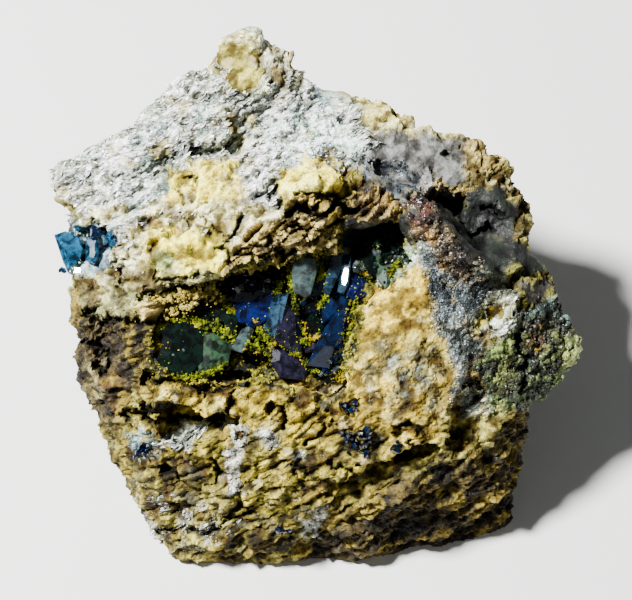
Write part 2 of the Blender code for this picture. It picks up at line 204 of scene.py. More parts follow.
def facet_noise(places: np.ndarray, seed: int = 0, curve: float = 0.85) -> tuple[np.ndarray, np.ndarray]:
    """Height of a broken surface: the highest of many tilted facets, each round a scattered point.

    A facet's height is its level, plus its tilt times the way from its point, less a curve times the
    square of that way, so that facets meet in creases and the surface has no steps.

    Args:
        places: Places, three numbers each.
        seed: Which scatter.
        curve: How strongly the facets are rounded.

    Returns:
        The height, from about -1 to 1, and a number from 0 to 1 for each facet.
    """
    cell = np.floor(places)
    height = np.full(len(places), -FAR)
    owner = np.zeros(len(places))
    for offset in np.ndindex(3, 3, 3):
        corner = cell + np.array(offset) - 1.0
        code = lattice(corner, seed)
        point = corner + scattered(code)
        way = places - point
        turn = lattice(corner, seed + 1)
        tilt = 2.0 * scattered(turn) - 1.0
        level = FACET_LEVEL * (2.0 * (code % LEVELS) / LEVELS - 1.0)
        facet = level + FACET_TILT * np.sum(way * tilt, -1) - curve * np.sum(way**2, -1)
        owner = np.where(facet > height, (turn % SHADES) / SHADES, owner)
        height = np.maximum(height, facet)
    return FACET_GAIN * (height - FACET_MIDDLE), owner


def inside(outline: tuple[tuple[float, float], ...], spots: np.ndarray) -> np.ndarray:
    """Signed distance to a closed outline, positive inside.

    Args:
        outline: The outline's corners, in order.
        spots: Places, two numbers each.

    Returns:
        The distance to the nearest side, negative outside.
    """
    corners = np.array(outline)
    nearest = np.full(len(spots), FAR)
    crossings = np.zeros(len(spots), int)
    for start, end in zip(corners, np.roll(corners, -1, 0)):
        side = end - start
        along = np.clip((spots - start) @ side / (side @ side), 0.0, 1.0)
        nearest = np.minimum(nearest, np.hypot(*(spots - start - along[:, None] * side).T))
        straddles = (start[1] > spots[:, 1]) != (end[1] > spots[:, 1])
        reach = start[0] + (spots[:, 1] - start[1]) * side[0] / (side[1] or 1.0 / FAR)
        crossings += straddles & (spots[:, 0] < reach)
    return np.where(crossings % 2 == 1, nearest, -nearest)


class Mineral(Enum):
    """The minerals that the rock's surface shows, in the order of its material slots."""

    EARTH = 0
    MICA = 1
    OCHRE = 2
    GOETHITE = 3
    ORE = 4
    DRUSE = 5
    SUGAR = 6
    WALL = 7
    CRUST = 8


@dataclass(frozen=True)
class Relief:
    """How high each kind of unevenness stands on a zone, in millimetres."""

    lumps: float
    facets: float
    chips: float
    flakes: float
    crumbs: float
    pits: float


EARTHY = Relief(0.6, 0.42, 0.16, 0.34, 0.05, 0.35)
FLAKY = Relief(0.45, 0.5, 0.06, 0.42, 0.02, 0.2)
POWDERY = Relief(0.55, 0.6, 0.14, 0.0, 0.06, 0.25)
LAYERED = Relief(0.4, 0.4, 0.12, 0.45, 0.05, 0.5)
METALLIC = Relief(0.2, 0.16, 0.1, 0.1, 0.04, 0.1)
DRUSY = Relief(0.4, 0.45, 0.22, 0.0, 0.25, 0.3)
SUGARY = Relief(0.3, 0.45, 0.22, 0.0, 0.08, 0.2)
SMOOTH = Relief(0.2, 0.16, 0.05, 0.0, 0.02, 0.35)
MOSSY = Relief(0.6, 0.5, 0.22, 0.0, 0.25, 0.4)
GRANULAR = Relief(0.3, 0.22, 0.14, 0.0, 0.1, 0.12)
SHEER = Relief(0.05, 0.14, 0.06, 0.16, 0.0, 0.0)
WAXY = Relief(0.3, 0.1, 0.05, 0.06, 0.02, 0.2)


@dataclass(frozen=True)
class Zone:
    """A patch of the open face with one mineral: its outline, colours and relief.

    Attributes:
        name: What the patch is.
        mineral: Its mineral, and so its material.
        outline: Its corners on the open face, across and up.
        colours: Its light, middle and dark colour.
        relief: How rough it is.
        soft: How far its border fades, in millimetres.
        gaps: From 0, whole, to 1, only a few patches of it.
        swell: How far its middle stands out.
    """

    name: str
    mineral: Mineral
    outline: tuple[tuple[float, float], ...]
    colours: tuple[str, str, str]
    relief: Relief
    soft: float = 0.5
    gaps: float = 0.0
    swell: float = 0.0


ZONES = (
    # The lower right, in painted shade: far darker than the rock's own brown
    Zone("right foot", Mineral.GOETHITE,
         ((-1, -30), (5, -26), (8, -23.4), (14, -20.4), (22, -17), (30, -13), (40, -14), (40, -40),
          (-4, -40)),
         ("#54481F", "#2A220D", "#0B0803"), Relief(0.5, 0.7, 0.2, 0.4, 0.04, 0.5), 2.2),
    # The left flank: its own brown, darkened further with painted shade
    Zone("left flank", Mineral.GOETHITE,
         ((-36, 2), (-24, 1), (-22, -4), (-23, -10), (-25, -16), (-34, -18), (-36, -8)),
         ("#4A4022", "#241C0E", "#0B0804"), LAYERED, 1.4),
    # Painted shade in the flank's hollow
    Zone("flank hollow", Mineral.GOETHITE, ((-28, -9.4), (-25.2, -9.4), (-25.4, -15.2), (-27.4, -15.6)),
         ("#463215", "#1D1205", "#060401"), EARTHY, 0.7),
    Zone("flank column", Mineral.EARTH, ((-31, -8.4), (-28.2, -8), (-28, -13.4), (-31.4, -13)),
         ("#A89E6C", "#5C5330", "#221C0E"), GRANULAR, 0.7),
    Zone("body gold", Mineral.OCHRE,
         ((-22, -19), (-10, -18), (2, -19), (10, -20), (4, -26), (-6, -28.6), (-18, -25)),
         ("#BCAC44", "#736A20", "#241E07"), EARTHY, 1.8, 0.3),
    Zone("body grey", Mineral.EARTH, ((-25, -24.6), (-12, -25.6), (-11, -29), (-14, -32.4), (-25, -32)),
         ("#9C9C84", "#524F38", "#1A170D"), GRANULAR, 1.4, 0.35),
    Zone("gold below vug", Mineral.OCHRE,
         ((-21.6, -10.4), (-12, -10), (-5, -9.8), (3.6, -10.8), (4.6, -17), (0, -19), (-8, -17), (-20, -15)),
         ("#D4BC44", "#907E24", "#32280A"), EARTHY, 0.9, 0.1),
    Zone("cream foot", Mineral.OCHRE,
         ((-36, 13.8), (-27, 13), (-19, 14.4), (-11, 16.4), (-8.4, 13), (-7, 11.6), (-4, 12.4), (-3.4, 10.4),
          (-8, 9), (-11.4, 7.6), (-11.6, 4.6), (-16, 4), (-22, 3), (-25, 1.6), (-36, 2.4)),
         ("#ECEABC", "#988F56", "#383016"), POWDERY, 0.9),
    Zone("grey in the foot", Mineral.MICA, ((-36, 13.6), (-20, 13.6), (-18, 9), (-25, 7), (-36, 8)),
         ("#E2E6DA", "#9A9C86", "#3A3A28"), FLAKY, 1.4, 0.5),
    Zone("brown in the foot", Mineral.GOETHITE,
         ((-22.6, 10.6), (-18.6, 12), (-15.6, 10.6), (-17, 7.8), (-21.4, 8)),
         ("#8A6E36", "#4C3718", "#1A1107"), EARTHY, 1.0, 0.35),
    Zone("bright ochre", Mineral.OCHRE,
         ((-22.6, 7.8), (-19.6, 9.8), (-13.6, 9), (-11.7, 8.6), (-11.4, 4.9), (-14, 3.7), (-19.6, 3.1),
          (-22.6, 4)),
         ("#FFF66C", "#F2E040", "#B8A232"), POWDERY, 0.9, 0.0, 0.3),
    Zone("pale green stain", Mineral.OCHRE,
         ((-21.8, 6), (-18.8, 6.8), (-17, 4.8), (-18.6, 3.5), (-21.6, 3.5)),
         ("#D7E8AE", "#B3CA87", "#6A7C41"), POWDERY, 0.7),
    Zone("silver crest", Mineral.MICA,
         ((-38, 22), (-37, 13.2), (-31, 13.8), (-27, 12.8), (-22, 12.6), (-19.6, 13.4), (-18.8, 16.2),
          (-15.4, 18.2), (-11.6, 18.6), (-9, 16.8), (-8.2, 13.6), (-7, 12.4), (-4.6, 12.6), (-4.4, 17.8),
          (0, 18.8), (4.4, 17.4), (6, 18.6), (9, 20.4), (8, 23.6), (3, 26), (0, 28.8), (-2, 31), (-6, 40),
          (-14, 40), (-30, 30)),
         ("#FFFFFF", "#949E88", "#24221A"), FLAKY, 0.9),
    Zone("tan crest stain", Mineral.OCHRE, ((-13, 25), (-8, 25), (-7.4, 20), (-10, 18.6), (-13, 20)),
         ("#D1D08E", "#A99F58", "#685A25"), FLAKY, 1.4, 0.35),
    Zone("green crest shade", Mineral.MICA, ((-24, 17), (-17, 18.6), (-16, 15), (-20, 13.4), (-25, 13.6)),
         ("#D8E0D4", "#8F9A8E", "#434A42"), FLAKY, 1.2, 0.3),
    Zone("ochre lump", Mineral.OCHRE,
         ((-19.8, 13.8), (-18.4, 16.6), (-15.4, 18.2), (-11.6, 18.4), (-9.4, 16.6), (-10, 13.6), (-14, 12.6)),
         ("#FFF284", "#E8D852", "#A8983A"), POWDERY, 0.6, 0.0, 1.2),
    Zone("ochre overhang", Mineral.OCHRE,
         ((-4.4, 17.9), (0, 18.5), (4, 16.6), (5.2, 14.8), (3, 13.9), (-1, 13.8), (-3.6, 12.8), (-4.4, 14.8)),
         ("#FFF482", "#ECDC4E", "#9A8830"), POWDERY, 0.4, 0.0, 0.9),
    Zone("sugary patch", Mineral.SUGAR, ((-6, 24), (0, 24.8), (5, 22.4), (5.6, 18.9), (0, 18.9), (-5.6, 19)),
         ("#EDFBF2", "#DAEEE2", "#94ABA0"), SUGARY, 1.4, 0.15),
    # Paler than its own colour, as painted light, so that the side the key light misses looks lit
    Zone("horn side", Mineral.EARTH,
         ((-8.8, 38.4), (-5, 37.6), (-1, 29), (-3.6, 27.4), (-7.8, 28.2), (-7.6, 32)),
         ("#F2F2D6", "#CCCBA6", "#8C8A68"), SHEER, 0.6, 0.1),
    Zone("horn cap", Mineral.MICA, ((-14, 38.6), (-6, 38.6), (-6.4, 35), (-8, 33), (-13.6, 34.2)),
         ("#F2EBB2", "#CEC688", "#8C8654"), SHEER, 0.5),
    Zone("horn face", Mineral.OCHRE,
         ((-14.6, 34.6), (-8, 33.2), (-6.8, 30.8), (-7.8, 28), (-9.6, 26.8), (-11.8, 27.6), (-13.4, 30.6)),
         ("#C8BC60", "#8E863C", "#4C461C"), SHEER, 0.35),
    Zone("blue bump", Mineral.MICA, ((-0.8, 29), (2.4, 30), (4.8, 27.4), (2.4, 25.2), (0, 26.2)),
         ("#CFDADB", "#93A5AA", "#4C5C62"), SMOOTH, 0.6),
    Zone("cream rim", Mineral.OCHRE,
         ((4.4, 28), (10, 27), (14.6, 24.6), (18.6, 23.6), (18.6, 21.4), (13, 22), (8, 22.6), (4.6, 24.6)),
         ("#E8E2A8", "#BAAE64", "#6A5C28"), POWDERY, 0.7),
    Zone("orange rim", Mineral.OCHRE,
         ((18.6, 22), (22, 21.6), (25, 18.4), (23.4, 16), (20.6, 16.2), (19.6, 18.4)),
         ("#C4B474", "#8A7840", "#3A2E14"), POWDERY, 0.6),
    Zone("grey shoulder", Mineral.WALL,
         ((6, 20.4), (9, 22), (14, 22.2), (19, 21.4), (19.8, 18.6), (20.6, 16), (17, 15.2), (14.4, 14.6),
          (10, 14.2), (7, 16.4), (5, 18.6)),
         ("#7C7D7C", "#64645F", "#35342F"), WAXY, 0.8),
    Zone("slate streak", Mineral.WALL,
         ((6, 18.6), (9, 18.3), (13.4, 15.9), (14, 14.3), (10, 12.9), (6.6, 15.2)),
         ("#6C767C", "#40474C", "#181C20"), WAXY, 0.8, 0.15),
    Zone("rust layers", Mineral.GOETHITE,
         ((5.2, 14.8), (9.6, 14.4), (11, 12.8), (12, 10.4), (8, 10.4), (5.2, 11)),
         ("#A08A54", "#604A26", "#20150A"), Relief(0.4, 0.3, 0.12, 1.1, 0.04, 0.4), 0.5),
    Zone("cave rim", Mineral.GOETHITE, ((13.6, 16.2), (17, 16), (21.8, 16.2), (21.6, 14.2), (14, 13.6)),
         ("#8E8676", "#4E483C", "#17130E"), DRUSY, 0.5),
    Zone("olive stripes", Mineral.OCHRE,
         ((20.6, 16.8), (24, 17), (27, 15.8), (29.4, 12), (28.4, 7.4), (26, 9), (26, 13.8), (22, 14.6)),
         ("#8E8450", "#4C4422", "#191508"), EARTHY, 0.5),
    # Its own dark grey, darkened further with painted shade on the side away from the light
    Zone("dark bumps", Mineral.WALL, ((19.4, 14.8), (25, 14.8), (26.6, 12), (26, 8), (22, 8.4), (19.4, 10.4)),
         ("#1A1E19", "#0E100D", "#050605"), Relief(0.35, 0.1, 0.05, 0.0, 0.04, 0.4), 0.5),
    # The channel: a side that faces away from the light, its dark grey-green darkened with painted shade
    Zone("dark channel", Mineral.WALL,
         ((14.2, 14), (16, 13.4), (19.4, 10.8), (22.4, 8.8), (27.6, 8), (31.4, 4.8), (33, 1.6), (30, 2.8),
          (26, 3.4), (22.6, 3), (20.4, 4.6), (18.4, 6.4), (16.2, 9.8)),
         ("#1A1F19", "#0E110D", "#060705"), Relief(0.1, 0.04, 0.03, 0.0, 0.02, 0.1), 0.5),
    Zone("sugary ridge", Mineral.SUGAR,
         ((10.2, 13.4), (14.4, 13.9), (17, 9.9), (19, 6.8), (20.8, 5), (23, 3.6), (22.2, 1.6), (19.6, 2.6),
          (15, 5.4), (12.6, 8.4)),
         ("#5E523A", "#2E2416", "#100B05"), SUGARY, 0.4, 0.0, 0.5),
    Zone("amber in the ridge", Mineral.SUGAR,
         ((11.4, 11), (15.6, 11), (19, 6), (22, 3.4), (21, 2), (15, 5.8)),
         ("#8A6A36", "#523A18", "#1C1207"), SUGARY, 0.8, 0.6),
    Zone("red patch", Mineral.SUGAR, ((11.4, 13), (14, 13), (15, 10), (12.6, 9.6)),
         ("#4C2C20", "#28120C", "#0E0604"), SUGARY, 0.6),
    Zone("grey speckle", Mineral.SUGAR, ((20.8, 3.8), (26.2, 3.2), (26.4, -0.4), (21.4, -0.6)),
         ("#8C937E", "#565C48", "#202217"), SUGARY, 0.8),
    Zone("silver ore", Mineral.ORE,
         ((11, 8), (13.8, 7.2), (16, 5.2), (18, 3.4), (15, 2.2), (13.6, 3.6), (11.4, 4.2)),
         ("#A8B2B0", "#6C7674", "#343A38"), METALLIC, 0.6),
    Zone("slate ore", Mineral.ORE,
         ((14.4, 5.4), (19.6, 2.8), (22, 2.2), (22.4, -0.4), (20, -3), (16, -2.6), (14, 0)),
         ("#7A8486", "#4E5658", "#282C2E"), METALLIC, 0.7),
    Zone("ore band", Mineral.ORE,
         ((14, -1.6), (17, -3), (20.6, -2.6), (20.2, -8), (19.8, -14.8), (18.2, -14.8), (17.5, -9),
          (16, -4.2)),
         ("#969E9C", "#626A68", "#30342F"), METALLIC, 0.5),
    Zone("brown fringe", Mineral.GOETHITE,
         ((19.8, -2.4), (23, -2.2), (23.6, -5), (22, -8), (21, -11.4), (19.4, -12)),
         ("#797458", "#443E29", "#130F08"), SUGARY, 0.8, 0.15),
    Zone("pale cream", Mineral.MICA, ((21.8, 0), (26.2, 0), (26.2, -3.6), (24, -4.8), (21.4, -3.2)),
         ("#D4DCBC", "#AEB38F", "#686946"), FLAKY, 0.6, 0.1),
    Zone("yellow spot", Mineral.OCHRE, ((22.2, -0.7), (23.8, -0.7), (23.3, -2.6), (21.8, -3.6)),
         ("#C6BD52", "#9D8D23", "#5C4D0A"), POWDERY, 0.4),
    Zone("silver below", Mineral.MICA, ((19.6, -11.2), (24, -11.4), (24.6, -15), (19.4, -15.4)),
         ("#92A191", "#5C695A", "#252C22"), FLAKY, 0.7, 0.2),
    Zone("pocket rim", Mineral.OCHRE, ((25.2, 4), (31.8, 3.4), (32.2, -1.4), (26, -1.8)),
         ("#7D7939", "#4A4617", "#110F03"), EARTHY, 0.6),
    # Painted shade inside the pocket
    Zone("pocket", Mineral.WALL, ((26.8, 3), (30.2, 2.6), (30.2, -0.2), (26.8, 0.2)),
         ("#3E3C34", "#1E1D18", "#0A0A08"), SMOOTH, 0.4),
    Zone("teal edge", Mineral.DRUSE,
         ((29.6, 6.4), (35, 2), (36, -3.2), (33, -4), (29.8, -3), (26, -3), (26, -1.4), (31.8, 0)),
         ("#5D7367", "#23332B", "#070D09"), DRUSY, 0.7),
    Zone("green corner", Mineral.DRUSE,
         ((20.4, -8.4), (22.4, -5.6), (25, -3.6), (28.6, -2.6), (32.6, -3.6), (37, -5.4), (34.6, -9.8),
          (29, -13.8), (25, -15.2), (22, -11.4)),
         ("#4C5C26", "#1C260C", "#060803"), DRUSY, 0.5, 0.0, 0.4),
    Zone("bright moss", Mineral.DRUSE, ((22.2, -6.2), (25.4, -4.2), (25.8, -9), (25, -11.8), (22.4, -10.2)),
         ("#94A24E", "#52622A", "#18200C"), DRUSY, 0.7, 0.15),
    Zone("light olive", Mineral.DRUSE, ((29.2, -4.4), (32.6, -4), (36.6, -6), (34, -9.2), (29.8, -8.6)),
         ("#9AA45C", "#5C6630", "#20260E"), DRUSY, 0.7, 0.1),
    Zone("brown streak", Mineral.GOETHITE, ((27.6, -3.2), (30.4, -3.6), (30, -6.8), (28.2, -7.8)),
         ("#5D481C", "#322209", "#0E0802"), DRUSY, 0.7),
    Zone("ochre mound", Mineral.OCHRE,
         ((2.8, -4.6), (4.8, -1), (6.4, 0.8), (8, 2), (10, 4.6), (13.5, 4.6), (14.2, 0.4), (16.4, -4),
          (17.6, -8), (18.6, -14), (18, -17), (12, -19), (5, -17), (3.6, -12), (3.4, -8)),
         ("#D6BC50", "#94802C", "#564614"), GRANULAR, 0.7),
    Zone("mound top", Mineral.OCHRE,
         ((6.6, 1), (10, 4.8), (13.4, 4.6), (14, 0), (10, -3), (6, -3.8), (4.6, -1.6)),
         ("#EAD45A", "#BEA034", "#846C1E"), GRANULAR, 1.0),
    Zone("khaki bloom", Mineral.EARTH,
         ((8, -5), (15.6, -5), (17.6, -10), (18, -15), (12, -17), (6, -14), (5, -9)),
         ("#B6AE72", "#7A7242", "#443E22"), GRANULAR, 1.8, 0.15),
    Zone("blue bloom", Mineral.EARTH, ((6.6, -5.6), (15.4, -5.6), (17, -14), (7, -14)),
         ("#A6AEA4", "#727A70", "#363B34"), GRANULAR, 1.2, 0.7),
    Zone("pale patches", Mineral.OCHRE, ((15.6, -14.6), (25, -14.4), (25, -18), (20, -21), (12, -21.4)),
         ("#BDB668", "#7A7230", "#2E280C"), Relief(0.5, 0.7, 0.14, 0.0, 0.06, 0.5), 0.9, 0.25),
    Zone("silver streak", Mineral.MICA,
         ((-21.6, -18.4), (-18, -17), (-15.2, -15.9), (-14.6, -17.4), (-16.4, -19.2), (-20.4, -19.4)),
         ("#D2DFD1", "#96A290", "#373C32"), FLAKY, 0.4),
    Zone("blue vug", Mineral.MICA, ((-24.6, -16.6), (-22, -17.2), (-21.4, -20.8), (-23.8, -21.2)),
         ("#A3BFBF", "#5C7678", "#202D2F"), DRUSY, 0.6, 0.1),
    Zone("quartz lump", Mineral.SUGAR, ((-10.9, -16), (-8.5, -16), (-8.3, -18.9), (-10.7, -18.9)),
         ("#E3E9DF", "#B8BFB1", "#717261"), SUGARY, 0.5, 0.1),
    Zone("quartz streak", Mineral.SUGAR, ((-12, -19.2), (-9.7, -19.2), (-10.5, -22.8), (-12.1, -22.8)),
         ("#FFFFFC", "#E4E4DA", "#8C8A78"), SUGARY, 0.4),
    Zone("low quartz streak", Mineral.SUGAR, ((-11.1, -22.9), (-9.9, -22.9), (-9.9, -25.6), (-11.3, -25.6)),
         ("#FAFAF6", "#CBCDC4", "#7D7B6C"), SUGARY, 0.4, 0.2),
    Zone("small quartz", Mineral.SUGAR, ((-6.9, -15.9), (-5.1, -16), (-5, -18.5), (-6.7, -18.3)),
         ("#D2D8CD", "#929689", "#48483D"), SUGARY, 0.5, 0.15),
    Zone("low sparkle", Mineral.SUGAR, ((-2.7, -27.4), (0.7, -27.6), (0.6, -31.8), (-2.6, -31.6)),
         ("#C6CCC1", "#8A8E81", "#434439"), SUGARY, 0.7, 0.25),
    Zone("middle sparkle", Mineral.SUGAR, ((-2.4, -20), (0, -20), (0, -21.8), (-2.2, -21.9)),
         ("#D2D8CD", "#929689", "#48483D"), SUGARY, 0.5, 0.3),
    Zone("roof lip", Mineral.GOETHITE,
         ((-12.4, 4.3), (-10.6, 8.2), (-7.4, 9.4), (-3.4, 12), (-1, 13), (5.4, 13.8), (5.6, 10.6), (3.4, 9.2),
          (1.4, 6), (-3.2, 4.6), (-12.2, 3), (-14.4, 1)),
         ("#C4B06E", "#70602E", "#1E1506"), Relief(0.4, 0.3, 0.14, 1.15, 0.04, 0.6), 0.7),
    Zone("grey lip", Mineral.EARTH,
         ((-35, 1.4), (-29, 1), (-22.6, 2.4), (-14, 4.2), (-12, 4), (-14.6, 0.6), (-21, -1.8), (-24, -2.4),
          (-34, -2.4)),
         ("#B6B37D", "#7F7D4F", "#393417"), GRANULAR, 0.5),
    Zone("vug lining", Mineral.CRUST,
         ((-22, -1.2), (-14.8, 1), (-12.2, 3.8), (-3.2, 5.4), (1.6, 6.4), (3.4, 9.8), (11.4, 11), (13.2, 8),
          (11.8, 3.2), (7.4, 0.8), (5.8, -3), (4.2, -10.8), (-2, -11), (-15, -10.4), (-22, -8.8)),
         ("#9C9630", "#4E4A12", "#0B0B06"), MOSSY, 0.5),
    Zone("ledge below the lip", Mineral.OCHRE,
         ((-23.4, -2.8), (-22.8, 0.2), (-19.4, 1.6), (-16.2, 2.0), (-13.2, 2.6), (-12.2, 1.0), (-14.6, -0.2),
          (-17.2, -0.6), (-19.6, -1.2), (-21.6, -2.6)),
         ("#D2BA6C", "#846E38", "#241A0A"), EARTHY, 0.5, 0.0, 2.4),
    Zone("brown below the ledge", Mineral.OCHRE,
         ((-19.8, -2.6), (-17.6, -0.9), (-15.6, -0.1), (-14.6, -0.6), (-15.6, -2.2), (-17.8, -3.0)),
         ("#A88C44", "#5E4A20", "#1C1408"), EARTHY, 0.4, 0.0, 1.4),
    # Painted shade: a near-black colour where the cave lies in shadow
    Zone("black cave", Mineral.WALL, ((3.4, 10.6), (12.4, 11), (13.2, 7.8), (8, 6.4), (4, 6.8)),
         ("#26281F", "#121310", "#060606"), SMOOTH, 0.6),
    Zone("green vug side", Mineral.DRUSE, ((8, 6.8), (11.6, 7.6), (13.8, 6.6), (12, 3.4), (9.2, 2), (7.6, 3)),
         ("#BBD0B3", "#69846B", "#243328"), DRUSY, 0.6, 0.1),
    Zone("edge pocket", Mineral.WALL, ((-38, 10), (-26.4, 10), (-25.6, 4), (-38, 2.8)),
         ("#8FA6A8", "#33464E", "#0E171B"), DRUSY, 0.6),
)


@dataclass(frozen=True)
class Cleft:
    """A gap in the open face, sunk and given painted shade: its line of places (across, up), half width and
    depth.
    """

    line: tuple[tuple[float, float], ...]
    radius: float
    depth: float


# The gaps: each is sunk, and its depth also darkens it as painted shade
CLEFTS = (
    Cleft(((-3.2, 11.2), (-1.2, 11.6), (0.6, 11.8), (2.6, 12.2), (5.2, 12)), 0.75, 3.0),
    Cleft(((-1.8, 13.4), (1, 13.5), (4, 13.6)), 0.2, 1.4),
    Cleft(((-11.4, 8.2), (-10.6, 9.3), (-9.4, 10.2)), 0.4, 1.4),
    Cleft(((-5.2, 7.2), (-4.2, 6.8), (-3.4, 6.4)), 0.75, 2.4),
    Cleft(((-11.4, 6), (-9, 6.9), (-7, 7), (-5.8, 8)), 0.28, 1.0),
    Cleft(((-10.8, 5), (-8, 5.6), (-5.8, 5.2)), 0.3, 1.2),
    Cleft(((-3.2, 9.4), (-1, 8.8), (0.4, 9.6), (3, 9.9)), 0.3, 1.2),
    Cleft(((-20, 18.4), (-17.6, 18.8), (-15.4, 19.8)), 0.35, 1.4),
    Cleft(((-19.2, 19.6), (-17, 20.2), (-15, 20.5)), 0.4, 1.8),
    Cleft(((-7.2, 13.7), (-5.8, 14), (-5, 14.9)), 0.6, 2.2),
    Cleft(((-5.4, 13.4), (-4.8, 12.8)), 0.45, 2.0),
    Cleft(((-16.4, 16.4), (-15.6, 14.8)), 0.3, 1.2),
    Cleft(((-21.4, 3), (-18.6, 3), (-15.2, 3.5)), 0.22, 1.0),
    Cleft(((-22.2, 1.2), (-19, 1.8), (-16.6, 1.6), (-14.2, 2.6), (-11.8, 3.9)), 0.28, 1.5),
    Cleft(((-16.6, 0.9), (-15.2, 1.4), (-14, 2.2)), 0.45, 1.8),
    Cleft(((-31, -1.8), (-28.4, -2.2), (-25.6, -2.8)), 0.5, 1.6),
    Cleft(((-24.8, -3.4), (-23.4, -2.4), (-22, -3.2)), 0.6, 1.8),
    Cleft(((-21.8, -1.8), (-19, -1), (-16.8, -0.4)), 0.6, 2.2),
    Cleft(((-25.4, 8.4), (-25.2, 5), (-25.3, 1.6)), 0.22, 0.9),
    Cleft(((-29.2, 10.4), (-27.6, 9.6)), 0.6, 1.6),
    Cleft(((-11.6, 7.2), (-11.4, 5.2)), 0.3, 1.2),
    Cleft(((-17.6, 12.2), (-12, 8.4)), 0.12, 0.5),
    Cleft(((-21.8, -9.9), (-18, -10.9), (-14.6, -10.9), (-12, -9.8)), 0.5, 2.4),
    Cleft(((-10.8, -7.4), (-9.4, -8.2), (-8.6, -8.2)), 0.6, 2.2),
    Cleft(((-15.6, -10.8), (-12.8, -11.2), (-9.2, -10.4)), 0.5, 1.8),
    Cleft(((-10.9, -12), (-10.9, -14), (-11.4, -16.2)), 0.3, 1.6),
    Cleft(((-24.6, -14.4), (-22, -14.9), (-19, -15.3), (-15, -15.6), (-11.6, -16.2)), 0.5, 2.0),
    Cleft(((-5.4, -13.6), (-4.8, -14.2), (-4.3, -15.6)), 0.45, 1.6),
    Cleft(((0.9, -14.9), (0.4, -16.4), (-0.6, -18.6)), 0.3, 1.1),
    Cleft(((-19.4, -18.7), (-17, -18.6), (-15.6, -17.4)), 0.25, 1.0),
    Cleft(((-20.8, -22.6), (-19.4, -23.4), (-18.6, -23.9)), 0.5, 1.6),
    Cleft(((-13.7, -21), (-13.4, -22.4), (-13.2, -23.4)), 0.35, 1.4),
    Cleft(((-11.6, -28.4), (-10, -27.6), (-8.4, -27.6)), 0.45, 1.5),
    Cleft(((-2.3, -21.2), (-2.6, -24.6)), 0.18, 0.7),
    Cleft(((1.8, -21.4), (4.2, -21), (6, -22)), 0.3, 1.0),
    Cleft(((-22, -30.6), (-18.6, -30.4), (-16, -29.6), (-12, -29.6)), 0.4, 1.4),
    Cleft(((-29.8, -5), (-28.4, -7.4), (-26.8, -8.6)), 0.35, 1.2),
    Cleft(((9.6, -17), (11.8, -16.4), (13.4, -17.6)), 0.35, 1.0),
    Cleft(((20.6, -10.6), (21.4, -11.6)), 0.5, 1.2),
    Cleft(((26.6, -4.6), (26.8, -8), (26.4, -11)), 0.5, 1.6),
    Cleft(((15, 13.9), (16.8, 13.6), (18.6, 13.2)), 0.95, 4.5),
    Cleft(((18.4, 12.8), (19.2, 11.6)), 0.7, 3.5),
    Cleft(((16.4, 19.5), (16.9, 19.4)), 0.35, 1.2),
    Cleft(((20.4, 10.2), (21.8, 9.6), (23, 9.9)), 0.4, 1.2),
    Cleft(((22.4, 12.8), (24.6, 11.4)), 0.4, 1.0),
)

EARTH_COLOURS = ("#A49A48", "#60561E", "#1C1706")
# Painted shade: darker colours for the surfaces that face down, where shade falls
UNDERSIDE_PAINTED_SHADE_COLOURS = ("#786C38", "#483E1C", "#1C1608")


@dataclass(frozen=True)
class Stain:
    """A second colour that lies over some minerals in patches, or painted shade that gathers in their
    hollows.

    Attributes:
        minerals: Which minerals it lies on.
        colour: Its colour.
        amount: How strongly it covers, up to 1.
        size: How wide its patches are, in millimetres.
        level: How much of the surface it takes, from -1, all, to 1, none.
        low: Whether it gathers in the hollows, as painted shade.
        seed: Which patches.
    """

    minerals: tuple[Mineral, ...]
    colour: str
    amount: float
    size: float
    level: float
    low: bool
    seed: int


# Stains; the dark ones that gather in the hollows (low) are painted shade
STAINS_AND_PAINTED_SHADE = (
    Stain((Mineral.MICA,), "#B4A870", 0.6, 3.2, 0.2, False, 301),
    # Painted shade in the mica's hollows
    Stain((Mineral.MICA,), "#5A5334", 0.75, 1.4, 0.2, True, 302),
    Stain((Mineral.MICA,), "#8CB0B0", 0.35, 4.0, 0.2, False, 303),
    Stain((Mineral.EARTH, Mineral.GOETHITE), "#A08A30", 0.5, 3.0, 0.2, False, 304),
    Stain((Mineral.EARTH,), "#504E3A", 0.6, 2.2, 0.2, False, 305),
    # Painted shade in the crevices between the earthy lumps
    Stain((Mineral.EARTH, Mineral.OCHRE), "#3C2B0E", 0.75, 2.0, 0.12, True, 306),
    Stain((Mineral.OCHRE,), "#F0E29C", 0.35, 2.4, 0.3, False, 307),
    Stain((Mineral.ORE,), "#A59766", 0.5, 1.8, 0.3, False, 308),
    # Painted shade in the druse's hollows
    Stain((Mineral.DRUSE,), "#2E2A12", 0.6, 2.2, 0.2, True, 310),
    # Painted shade, near black, in the hollows of the vug
    Stain((Mineral.CRUST,), "#12181A", 0.9, 3.4, 0.0, True, 311),
)


def read_vertices(mesh: bpy.types.Mesh, what: str) -> np.ndarray:
    """Read a three-number property of all vertices as one array.

    Args:
        mesh: The mesh.
        what: The property's name.

    Returns:
        Three numbers for each vertex.
    """
    values = np.empty(len(mesh.vertices) * 3, np.float32)
    mesh.vertices.foreach_get(what, values)
    return values.reshape(-1, 3).astype(float)


